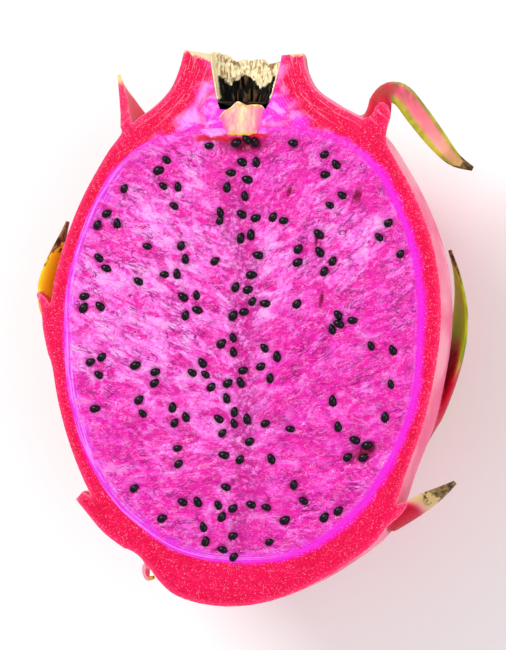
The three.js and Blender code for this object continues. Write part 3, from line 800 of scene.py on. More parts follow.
# %% Surface of the flesh
t = np.linspace(0, 1, LINES + 1)[1:-1]
row = row_at(FLESH_ROWS, t)
u = np.linspace(-1, 1, COLUMNS + 1)
half = (row[:, 2] - row[:, 1])[:, None] / 2 + 0.12
x = (row[:, 1] + row[:, 2])[:, None] / 2 + half * u
y = row[:, :1] + 0 * x
edge = distance_to(np.stack([x, y], -1).reshape(-1, 2), flesh_line).reshape(x.shape)
edge = np.where(abs(u)[None, :] > 0.9999, 0, edge)
coarse, fine = pulp_relief(x, y)
seed_gap = distance_to(np.stack([x, y], -1).reshape(-1, 2), seeds[:, :2]).reshape(x.shape)
halo = np.exp(-(((seed_gap - 0.6) / 0.7) ** 2))
settle = smoothstep(0.5, 3.0, edge)
relief = 0.3 * coarse + 0.16 * fine
cavities = np.zeros_like(x)
for cx, cy, long, wide, turn in CAVITIES:
    along = (x - cx) * math.cos(turn) + (y - cy) * math.sin(turn)
    across = (y - cy) * math.cos(turn) - (x - cx) * math.sin(turn)
    cavities = np.maximum(cavities, np.exp(-(((along / long) ** 2 + (across / wide) ** 2) ** 1.5)))
lift = flesh_ripple(x, y) * 0.8 + relief * 0.9 - 0.14 - 0.3 * halo - 1.1 * cavities
z = CUT_HEIGHT - 0.05 + settle * lift
top = np.stack([x, y, z], -1)

start_angle = -math.asin(CUT_OFFSET)
angle = np.linspace(start_angle, math.pi - start_angle, UNDER_COLUMNS + 2)[1:-1]
under = section_points(row[:, None, :] + 0 * angle[None, :, None], angle[None, :] + 0 * row[:, :1], -0.3)
rings = np.concatenate([top, under], axis=1)
pad = np.zeros((len(t), UNDER_COLUMNS))
layers = {
    "relief": np.concatenate([relief, pad], 1),
    "edge": np.concatenate([edge, pad], 1),
    "halo": np.concatenate([halo, pad], 1),
    "cavity": np.concatenate([cavities, pad], 1),
}
stem_pole = np.array([0.0, -46.3, CUT_HEIGHT - 0.4])
neck_pole = np.array([0.6, 46.3, CUT_HEIGHT - 0.4])
flesh = ring_stack("flesh_pulp", rings, stem_pole, neck_pole, layers)
print("flesh:", len(flesh.data.polygons), "faces, relief up to", relief.max().round(2), "mm")

# %% [markdown]
# ## Seed bodies
# A seed is a flattened egg with a blunt end. All eggs are one piece, made at once from arrays, and
# each sinks a little deeper or less deep than its neighbours.

# %% Seed bodies
SEED_AROUND = 10
SEED_RINGS = 5


def seed_bodies(places):
    """Egg surface: length times the cosine of the turn, width times its sine narrowed to one end,
    and height by the sine of the latitude."""
    level = np.linspace(-1.15, 1.15, SEED_RINGS)
    turn = 2 * np.pi * np.arange(SEED_AROUND) / SEED_AROUND
    ring = np.cos(level)[:, None]
    along = 1.22 * ring * np.cos(turn)
    across = 0.82 * ring * np.sin(turn) * (1 - 0.2 * np.cos(turn))
    up = 0.62 * np.sin(level)[:, None] + 0 * along
    egg = np.concatenate([np.stack([along, across, up], -1).reshape(-1, 3), [[0, 0, -0.62], [0, 0, 0.62]]])
    a = np.arange(SEED_AROUND)
    b = (a + 1) % SEED_AROUND
    line = np.arange(SEED_RINGS - 1)[:, None] * SEED_AROUND
    quads = np.stack([line + a, line + b, line + SEED_AROUND + b, line + SEED_AROUND + a], -1).reshape(-1, 4)
    last = (SEED_RINGS - 1) * SEED_AROUND
    low = np.stack([np.full(SEED_AROUND, len(egg) - 2), b, a], -1)
    high = np.stack([np.full(SEED_AROUND, len(egg) - 1), last + a, last + b], -1)
    caps = np.concatenate([low, high])
    x, y, turn, size = places.T[:, :, None]
    sunk = 0.14 * np.sin(37.0 * np.arange(len(places)))[:, None] - 0.04
    px = x + size * (egg[:, 0] * np.cos(turn) - egg[:, 1] * np.sin(turn))
    py = y + size * (egg[:, 0] * np.sin(turn) + egg[:, 1] * np.cos(turn))
    pz = CUT_HEIGHT + 0.8 * flesh_ripple(x, y) - 0.02 + sunk + size * egg[:, 2]
    points = np.stack([px, py, pz], -1).reshape(-1, 3)
    shift = (np.arange(len(places)) * len(egg))[:, None, None]
    return mesh_object("seeds", points, [(quads + shift).reshape(-1, 4), (caps + shift).reshape(-1, 3)])


seed_piece = seed_bodies(seeds)
print("seed faces:", len(seed_piece.data.polygons))

# %% [markdown]
# ## Dried flower
# What is left of the flower is a papery cup in the crater of the neck. It has folds that run along
# it and a torn rim that rises from its right side to its left.

# %% Dried flower
CUP_STEPS = 110
CUP_AROUND = 150
CUP_FLOOR = 50.5
CUP_RIM = 59.3
FLAP_ROWS = [
    [0.0, 57.6], [0.1, 57.2], [0.2, 56.0], [0.32, 56.5], [0.43, 58.0], [0.53, 56.4], [0.64, 55.2],
    [0.76, 55.6], [0.88, 56.8], [1.0, 57.4],
]


def cup_wall(share, angle, grow):
    """Points of the crater's wall at a share of the way from its floor to the torn rim. The rim has
    two waves round the cup and rises by 3.2 mm from its right side to its left. The floor is closed
    over the first eighth of the way by the root of the share."""
    rim = CUP_RIM + 3.2 * angle / np.pi + 0.45 * np.sin(5 * angle + 0.6) + 0.3 * np.sin(11 * angle)
    row = row_at_height(CRATER_ROWS, CUP_FLOOR + (rim - CUP_FLOOR) * share)
    points = section_points(row, angle, grow)
    centre = np.stack([(row[..., 1] + row[..., 2]) / 2, points[..., 1], 0 * share + CUT_HEIGHT - 1.0], -1)
    open_share = np.sqrt(np.clip(share / 0.12, 0, 1))[..., None]
    return centre + (points - centre) * open_share


def flower_cup():
    """Outer wall, crumpled inner wall, and strips that join them along the rim and the cut. A pale
    layer of paper lies over the upper part of the inner wall and ends in a scalloped edge."""
    start = -math.asin(CUT_OFFSET)
    share, angle = np.meshgrid(np.linspace(0, 1, CUP_STEPS), np.linspace(start, math.pi - start, CUP_AROUND),
                               indexing="ij")
    outer = cup_wall(share, angle, -0.06)
    round_share = angle / math.pi
    flat = row_at_height(FLAP_ROWS, 1 - round_share)[..., 1]
    height = cup_wall(share, angle, -0.9)[..., 1]
    ragged = 0.35 * strokes(7 * angle, height, lambda a, b: 1.4 + 0 * a, 1.2, 0.9, 0.3, 4, 301)
    paper = smoothstep(-0.12, 0.16, height - flat + ragged)
    ridges = abs(strokes(7 * angle, height, lambda a, b: 1.5 + 0 * a, 2.6, 2.6, 0.5, 5, 211))
    crumple = strokes(7 * angle, height, lambda a, b: 0.5 + 0.2 * b, 2.2, 1.3, 0.5, 4, 251)
    grow = -0.75 - 0.9 * ridges * (1 - paper) - paper * (0.75 + 0.35 * crumple + 0.2 * ridges)
    grow = grow - 0.35 * np.sin(9 * angle)
    at_the_cut = smoothstep(0.0, 0.12, np.minimum(round_share, 1 - round_share))
    at_edge = -0.34 - 0.05 * np.sin(6.3 * height + 2 * np.sin(1.7 * height)) - 0.05 * np.sin(2.3 * height)
    grow = at_edge + (grow - at_edge) * at_the_cut
    inner = cup_wall(share, angle, grow)
    inner[..., 1] += 1.3 * (1 - np.clip(share / 0.12, 0, 1)) - 0.15 * (share > 0.999)
    lines, around = share.shape
    i, j = np.meshgrid(np.arange(lines - 1), np.arange(around - 1), indexing="ij")
    a = (i * around + j).reshape(-1)
    shift = lines * around
    outside = np.stack([a, a + 1, a + around + 1, a + around], -1)
    inside = outside[:, ::-1] + shift
    j = (lines - 1) * around + np.arange(around - 1)
    rim = np.stack([j, j + 1, j + 1 + shift, j + shift], -1)
    first = np.arange(lines - 1) * around
    right_cut = np.stack([first, first + around, first + around + shift, first + shift], -1)
    last = first + around - 1
    left_cut = np.stack([last + around, last, last + shift, last + around + shift], -1)
    points = np.concatenate([outer.reshape(-1, 3), inner.reshape(-1, 3)])
    points[:, 2] = np.minimum(points[:, 2], CUT_HEIGHT - 0.03)
    side = np.zeros(shift)
    above_floor = smoothstep(51.4, 53.0, points[:, 1])
    layers = {
        "paper": np.concatenate([side + 1, paper.ravel()]) * above_floor,
        "ridge_highlight": np.concatenate([side, (ridges + 0.3 * crumple).ravel()]),
        "cut_edge": np.concatenate([side + 1, (1 - at_the_cut).ravel()]) * above_floor,
    }
    faces = np.concatenate([outside, inside, rim, right_cut, left_cut])
    return mesh_object("flower_cup", points, [faces], layers)


flower = flower_cup()
welded = bmesh.new()
welded.from_mesh(flower.data)
bmesh.ops.remove_doubles(welded, verts=welded.verts, dist=1e-7)
bmesh.ops.recalc_face_normals(welded, faces=welded.faces)
welded.to_mesh(flower.data)
welded.free()
flower.data.set_sharp_from_angle(angle=math.radians(65))
print("flower:", len(flower.data.polygons), "faces")

# %% [markdown]
# ## Plug of the neck
# Between the crater and the flesh lies a plug of paler tissue, where the style of the flower went
# in. Its upper edge tore when the flower dried, so it stands up in a few points.

# %% Plug
PLUG_BASE = 44.6
PLUG_TOP = [
    [-4.8, 48.6], [-3.8, 49.8], [-2.4, 50.6], [-0.7, 51.9], [1.1, 51.1], [2.8, 51.2], [4.7, 50.9],
    [5.4, 49.4],
]


def plug_base(u):
    """Height of the lower edge for u from -1 to 1: a shallow bow with small waves."""
    return PLUG_BASE + 0.35 * u**2 + 0.12 * np.sin(9 * u)


def plug_body(lines=44, columns=56, under=10):
    """Rings from the base to the torn top. Each has a domed upper half, whose height is the root of
    one less the squared distance from the middle, and a flat under side."""
    s = np.linspace(0, 1, lines)[:, None]
    u = np.linspace(-1, 1, columns)[None, :]
    left, right = -2.9 - 1.9 * s**0.7, 3.3 + 1.9 * s**0.7
    x = (left + right) / 2 + (right - left) / 2 * u
    base = plug_base(u)
    top = row_at_height(PLUG_TOP, x)[..., 1]
    y = base + (top - base) * s
    dome = np.sqrt(np.maximum(1 - u**2, 0)) * (4 * s * (1 - s)) ** 0.35
    lift = 0.34 * dome + 0.1 * strokes(x, y, lambda a, b: 1.5 + 0.12 * a, 1.6, 1.2, 0.25, 5, 401)
    upper = np.stack([x, y, CUT_HEIGHT + lift * smoothstep(0, 0.12, 1 - abs(u))], -1)
    side = np.linspace(1, -1, under + 2)[None, 1:-1]
    x = (left + right) / 2 + (right - left) / 2 * side
    low_top = row_at_height(PLUG_TOP, x)[..., 1]
    low_base = plug_base(side)
    lower = np.stack([x, low_base + (low_top - low_base) * s, CUT_HEIGHT - 1.0 + 0 * x], -1)
    rings = np.concatenate([upper, lower], 1)
    flat = {"up": s + 0 * np.zeros((1, columns + under)),
            "across": np.concatenate([u + 0 * s, side + 0 * s], 1)}
    return ring_stack("neck_plug", rings, rings[0].mean(0), rings[-1].mean(0), flat)


plug = plug_body()
print("plug:", len(plug.data.polygons), "faces")

# %% [markdown]
# ## Shader helpers
# Materials are written with a few short helpers, so that a line of code reads like the look that it
# makes: a noise, a fade from one value to another, a mix of two colours. Lengths are metres here.


# %% Shader helpers
def colour(code):
    """Linear colour of a web code: the display curve undone for each channel."""
    values = [int(code[i : i + 2], 16) / 255 for i in (1, 3, 5)]
    return [v / 12.92 if v <= 0.04045 else ((v + 0.055) / 1.055) ** 2.4 for v in values] + [1.0]


class Graph:
    """Adds nodes to a tree. Apart from add, each method returns the node's output socket."""

    def __init__(self, tree):
        self.tree = tree

    def add(self, kind, inputs=None, **settings):
        """A node with its settings, and its inputs by name or number."""
        node = self.tree.nodes.new(kind)
        for key, value in settings.items():
            setattr(node, key, value)
        for key, value in (inputs or {}).items():
            self.put(node.inputs[key], value)
        return node

    def put(self, socket, value):
        """Links another socket to an input, or sets the input to a constant."""
        if isinstance(value, bpy.types.NodeSocket):
            self.tree.links.new(value, socket)
        else:
            socket.default_value = value

    def layer(self, name):
        """An attribute of the vertices."""
        return self.add("ShaderNodeAttribute", attribute_name=name).outputs["Fac"]

    def place(self):
        """The position on the piece, in metres."""
        return self.add("ShaderNodeTexCoord").outputs["Object"]

    def math(self, operation, a, b=0.0):
        """A sum, product or other operation on two numbers."""
        return self.add("ShaderNodeMath", {0: a, 1: b}, operation=operation).outputs[0]

    def fade(self, value, low, high, to_low=0.0, to_high=1.0):
        """Eases from to_low at low to to_high at high, with level ends."""
        node = self.add("ShaderNodeMapRange", {0: value, 1: low, 2: high, 3: to_low, 4: to_high},
                        interpolation_type="SMOOTHSTEP")
        return node.outputs[0]

    def about_zero(self, noise, reach):
        """A noise turned into a shift from minus the reach to plus the reach."""
        return self.fade(noise, 0.3, 0.7, -reach, reach)

    def mix(self, factor, a, b):
        """Colour a where the factor is 0 and colour b where it is 1."""
        return self.add("ShaderNodeMix", {0: factor, 6: a, 7: b}, data_type="RGBA").outputs[2]

    def noise(self, vector, scale, detail=3.0, roughness=0.55, distortion=0.0):
        """Cloudy noise about one half, with so many periods to a metre as the scale says."""
        node = self.add("ShaderNodeTexNoise", {"Vector": vector, "Scale": scale, "Detail": detail,
                                               "Roughness": roughness, "Distortion": distortion})
        return node.outputs[0]

    def stretch(self, vector, scale):
        """Coordinates multiplied by a scale for each axis, so a small one draws a pattern out."""
        return self.add("ShaderNodeMapping", {"Vector": vector, "Scale": scale}).outputs[0]

    def turned(self, vector, degrees, long):
        """Coordinates turned to a direction and stretched along it."""
        node = self.add("ShaderNodeMapping", {"Vector": vector, "Scale": (long, 1, 1),
                                              "Rotation": (0, 0, math.radians(degrees))},
                        vector_type="TEXTURE")
        return node.outputs[0]

    def blend(self, factor, a, b):
        """Number a where the factor is 0 and number b where it is 1."""
        return self.add("ShaderNodeMix", {0: factor, 2: a, 3: b}, data_type="FLOAT").outputs[0]

    def combine(self, x, y):
        """Coordinates put together from two numbers."""
        return self.add("ShaderNodeCombineXYZ", {0: x, 1: y}).outputs[0]

    def bump(self, height, strength, distance):
        """Normals tilted by a height that spans a distance in metres."""
        node = self.add("ShaderNodeBump", {"Strength": strength, "Distance": distance, "Height": height})
        return node.outputs[0]


print("skin pink in linear light:", [round(value, 3) for value in colour("#f1588a")])

# %% [markdown]
# ## Shared node groups
# Flecks, fine grain and creases come up in more than one place, so each is a node group with named
# sockets that a material uses like a node of its own.


# %% Node groups
def group(name, inputs, outputs):
    """An empty node group with float or vector inputs and float outputs."""
    tree = bpy.data.node_groups.new(name, "ShaderNodeTree")
    for label, kind in inputs:
        tree.interface.new_socket(label, in_out="INPUT", socket_type=kind)
    for label, kind in outputs:
        tree.interface.new_socket(label, in_out="OUTPUT", socket_type=kind)
    graph = Graph(tree)
    return graph, graph.add("NodeGroupInput").outputs, graph.add("NodeGroupOutput").inputs


def flecks_group():
    """Small light flecks: the middle of Voronoi cells, kept where a second noise is high."""
    graph, given, result = group(
        "Flecks",
        [("Vector", "NodeSocketVector"), ("Scale", "NodeSocketFloat"), ("Share", "NodeSocketFloat")],
        [("Mask", "NodeSocketFloat")],
    )
    cells = graph.add("ShaderNodeTexVoronoi", {"Vector": given[0], "Scale": given[1]})
    spot = graph.fade(cells.outputs["Distance"], 0.12, 0.3, 1.0, 0.0)
    chance = graph.noise(given[0], 900.0, 1.0)
    kept = graph.fade(chance, graph.math("SUBTRACT", 1.0, given[2]), 1.0)
    graph.put(result[0], graph.math("MULTIPLY", spot, kept))
    return graph.tree


def grain_group():
    """Fine height of moist tissue: two sizes of noise added up."""
    graph, given, result = group(
        "Tissue grain",
        [("Vector", "NodeSocketVector"), ("Scale", "NodeSocketFloat")],
        [("Height", "NodeSocketFloat")],
    )
    coarse = graph.noise(given[0], given[1], 2.0)
    fine = graph.noise(given[0], graph.math("MULTIPLY", given[1], 3.7), 2.0)
    graph.put(result[0], graph.math("ADD", coarse, graph.math("MULTIPLY", fine, 0.4)))
    return graph.tree


def creases_group():
    """Thin broken lines where a noise crosses its middle value, in two sizes."""
    graph, given, result = group(
        "Creases",
        [("Vector", "NodeSocketVector"), ("Scale", "NodeSocketFloat")],
        [("Mask", "NodeSocketFloat")],
    )
    masks = []
    for times, width in ((1.0, 0.036), (2.1, 0.05)):
        scale = graph.math("MULTIPLY", given[1], times)
        wave = graph.noise(given[0], scale, 2.0, 0.6, 0.7)
        gap = graph.math("ABSOLUTE", graph.math("SUBTRACT", wave, 0.5))
        line = graph.fade(gap, 0.0, width, 1.0, 0.0)
        chance = graph.noise(given[0], graph.math("MULTIPLY", scale, 0.8), 1.0)
        masks.append(graph.math("MULTIPLY", line, graph.fade(chance, 0.43, 0.56)))
    graph.put(result[0], graph.math("MAXIMUM", masks[0], graph.math("MULTIPLY", masks[1], 0.8)))
    return graph.tree


FLECKS, GRAIN, CREASES = flecks_group(), grain_group(), creases_group()
print("node groups:", [tree.name for tree in (FLECKS, GRAIN, CREASES)])


def material(name):
    """An empty material with its shader node."""
    made = bpy.data.materials.new(name)
    made.use_nodes = True
    return made, Graph(made.node_tree), made.node_tree.nodes["Principled BSDF"]


def set_inputs(shader, values):
    """Sets inputs of a shader node to constants."""
    for label, value in values.items():
        shader.inputs[label].default_value = value


def dress(piece, look):
    """Gives a piece a material and prints how many nodes that has."""
    piece.data.materials.append(look)
    print(piece.name, "wears", look.name, "with", len(look.node_tree.nodes), "nodes")


def use(graph, tree, **inputs):
    """A node group in a material."""
    node = graph.add("ShaderNodeGroup", node_tree=tree)
    for key, value in inputs.items():
        graph.put(node.inputs[key], value)
    return node.outputs[0]


# %% [markdown]
# ## Rind materials
# Outside, the skin is a waxy pink. Bracts turn from that pink to green and end in a dry brown tip.
# Each colour is mixed over the one before, by a layer that the bract carries from root to tip.


# %% Outside of the rind
def skin_material():
    """Skin in two pinks, then the bract's colours by their layers, brighter on their inner faces as
    painted light, the dried end of the neck and the floor of the crater painted near-black as
    painted shade."""
    made, g, shader = material("skin_and_bracts")
    place = g.place()
    xyz = g.add("ShaderNodeSeparateXYZ", {0: place})
    broad = g.noise(place, 60.0, 3.0)
    base = g.mix(g.fade(broad, 0.35, 0.65), colour("#f1588a"), colour("#ff9db4"))
    lines = g.noise(g.stretch(place, (1.0, 0.12, 1.0)), 900.0, 3.0)
    base = g.mix(g.fade(lines, 0.5, 0.75, 0.0, 0.14), base, colour("#ffd0d4"))
    leaf = g.layer("leaf")
    inside = g.layer("inside")
    red = g.mix(g.noise(place, 220.0), colour("#e2063e"), colour("#ff4074"))
    base = g.mix(g.math("MULTIPLY", leaf, g.math("MULTIPLY", inside, 0.85)), base, red)
    base = g.mix(g.layer("red"), base, g.mix(g.noise(place, 400.0), colour("#a00426"), colour("#e40c3c")))
    green = g.mix(g.fade(g.noise(place, 150.0), 0.4, 0.6), colour("#6f8a10"), colour("#aebf30"))
    # Painted light: inner faces of the bracts, which face the skin and lie in shade, get a brighter green
    # and gold, as if light shone through the leaf.
    green = g.mix(inside, green, colour("#b4ff2c"))
    base = g.mix(g.layer("green"), base, green)
    base = g.mix(g.layer("gold"), base, g.mix(inside, colour("#f2b21c"), colour("#ffe62a")))
    base = g.mix(g.layer("pale"), base, colour("#d2b47a"))
    dry_noise = g.math("ADD", g.layer("dry"), g.fade(g.noise(place, 500.0), 0.4, 0.6, -0.25, 0.25))
    dry = g.mix(g.fade(g.noise(place, 700.0), 0.35, 0.65), colour("#3c2a18"), colour("#9a7a4c"))
    base = g.mix(g.fade(dry_noise, 0.35, 0.65), base, dry)
    neck = g.fade(g.layer("from_top"), 0.5, 12.0, 1.0, 0.0)
    stripes = g.noise(g.stretch(place, (1.0, 0.06, 1.0)), 700.0, 2.0)
    neck = g.math("MULTIPLY", neck, g.fade(stripes, 0.42, 0.6))
    base = g.mix(neck, base, colour("#8a5a3a"))
    base = g.mix(g.fade(g.layer("from_top"), 0.1, 1.0, 0.9, 0.0), base, colour("#c9a878"))
    # Painted shade: the floor of the crater, a hollow under the dried flower, is painted near-black.
    across, along = (g.math("ABSOLUTE", g.math("SUBTRACT", part, middle))
                     for part, middle in ((xyz.outputs[0], 0.0008), (xyz.outputs[1], 0.0518)))
    crater_floor_shade = g.math("MULTIPLY", g.fade(across, 0.0062, 0.008, 1.0, 0.0),
                          g.fade(along, 0.002, 0.0034, 1.0, 0.0))
    crater_floor_shade = g.math("MULTIPLY", crater_floor_shade, g.fade(xyz.outputs[2], 0.032, 0.034))
    base = g.mix(crater_floor_shade, base, colour("#0c0605"))
    g.put(shader.inputs["Base Color"], base)
    height = use(g, GRAIN, Vector=place, Scale=900.0)
    g.put(shader.inputs["Normal"], g.bump(height, 0.3, 0.0004))
    set_inputs(shader, {
        "Roughness": 0.42,
        "Specular IOR Level": 0.14,
        "Subsurface Weight": 0.35,
        "Subsurface Radius": (1.0, 0.8, 0.5),
        "Subsurface Scale": 0.002,
    })
    return made


rind.data.materials.clear()
dress(rind, skin_material())

# %% [markdown]
# ## Cut tissue
# The cut tissue is crimson with pale flecks. It turns magenta towards the flesh and violet round the
# crater, so its mixes go by the three distances, and noise makes each border ragged.


# %% Cut tissue of the rind
def cut_material():
    """Crimson tissue that changes with the distances from the skin, the crater and the flesh, with
    pale flecks over all."""
    made, g, shader = material("cut_rind")
    place = g.place()
    xyz = g.add("ShaderNodeSeparateXYZ", {0: place})
    from_flesh, from_skin, from_crater = (g.layer(n) for n in ("from_flesh", "from_skin", "from_crater"))
    base = g.mix(g.fade(g.noise(place, 130.0, 4.0), 0.3, 0.7), colour("#e00042"), colour("#ec0854"))
    base = g.mix(g.fade(g.noise(place, 2800.0, 2.0, 0.7), 0.34, 0.52, 0.6, 0.0), base, colour("#b80030"))
    base = g.mix(g.fade(from_skin, 0.2, 1.4, 0.4, 0.0), base, colour("#fa4a80"))
    base = g.mix(g.fade(from_skin, 0.05, 0.34, 0.6, 0.0), base, colour("#ff86a4"))
    in_neck = g.fade(xyz.outputs[1], 0.044, 0.052)
    bands = g.combine(g.layer("from_side"), g.math("MULTIPLY", xyz.outputs[1], 60.0))
    fibre = g.noise(bands, 2.6, 3.0, distortion=0.3)
    base = g.mix(g.math("MULTIPLY", in_neck, g.fade(fibre, 0.55, 0.62, 0.0, 0.42)), base, colour("#ff9cc0"))
    ragged = g.math("ADD", from_crater, g.about_zero(g.noise(place, 200.0, 3.0), 1.4))
    low_neck = g.fade(xyz.outputs[1], 0.0505, 0.0555, 0.0, 5.2)
    near_crater = g.fade(g.math("ADD", ragged, low_neck), 2.0, 7.8, 1.0, 0.0)
    depth = g.math("ADD", from_skin, g.about_zero(g.noise(place, 200.0, 3.0), 1.2))
    shoulder = g.math("MULTIPLY", g.fade(depth, 5.2, 8.0), g.fade(xyz.outputs[1], 0.026, 0.040))
    near_crater = g.math("MAXIMUM", near_crater, shoulder)
    tissue = g.noise(place, 260.0, 4.0, distortion=1.0)
    violet = g.mix(g.fade(tissue, 0.4, 0.62), colour("#ec30d4"), colour("#f69cf8"))
    base = g.mix(g.math("MULTIPLY", near_crater, 0.92), base, violet)
    wobble = g.math("ADD", from_flesh, g.about_zero(g.noise(place, 300.0), 0.3))
    wobble = g.math("ADD", wobble, g.fade(xyz.outputs[0], -0.01, 0.025, 0.5, 0.0))
    base = g.mix(g.fade(wobble, 0.1, 1.1, 0.95, 0.0), base, colour("#ee12b4"))
    dry_edge = g.math("ADD", g.layer("from_top"), g.about_zero(g.noise(place, 500.0), 0.5))
    base = g.mix(g.fade(dry_edge, 0.2, 0.8, 1.0, 0.0), base, colour("#e6cfa0"))
    tip = g.math("MULTIPLY", g.fade(xyz.outputs[1], 0.0552, 0.0572),
                 g.fade(xyz.outputs[0], -0.022, -0.02, 1.0, 0.0))
    base = g.mix(tip, base, colour("#f4cf8e"))
    for turn, size, share in ((35.0, 2300.0, 0.74), (-20.0, 2900.0, 0.72), (80.0, 2600.0, 0.7)):
        flecks = use(g, FLECKS, Vector=g.turned(place, turn, 1.9), Scale=size, Share=share)
        base = g.mix(g.math("MULTIPLY", flecks, 0.72), base, colour("#ffb4da"))
    g.put(shader.inputs["Base Color"], base)
    height = use(g, GRAIN, Vector=place, Scale=1300.0)
    g.put(shader.inputs["Normal"], g.bump(height, 0.3, 0.0003))
    set_inputs(shader, {
        "Roughness": 0.38,
        "Specular IOR Level": 0.12,
    })
    return made


dress(rind, cut_material())
rind.data.polygons.foreach_set("material_index", in_cut.astype(np.int32))

# %% [markdown]
# ## Pulp
# Ridges of the pulp are painted pale pink as painted highlight and the valleys deep magenta as
# painted shade, and round the seeds the pulp is deep magenta too. Towards the rim the pulp gives way
# to a smooth violet band. A thin clear coat stands for the juice.

# %% Flesh
FIBRE_TURNS = (-24.0, 30.0, 2.0)


def by_zone(g, x, y, values):
    """One of three values: left of the middle, right of it, or low in the flesh."""
    upper = g.blend(g.fade(x, -0.006, 0.008), values[0], values[1])
    return g.blend(g.fade(y, -0.03, -0.008, 1.0, 0.0), upper, values[2])


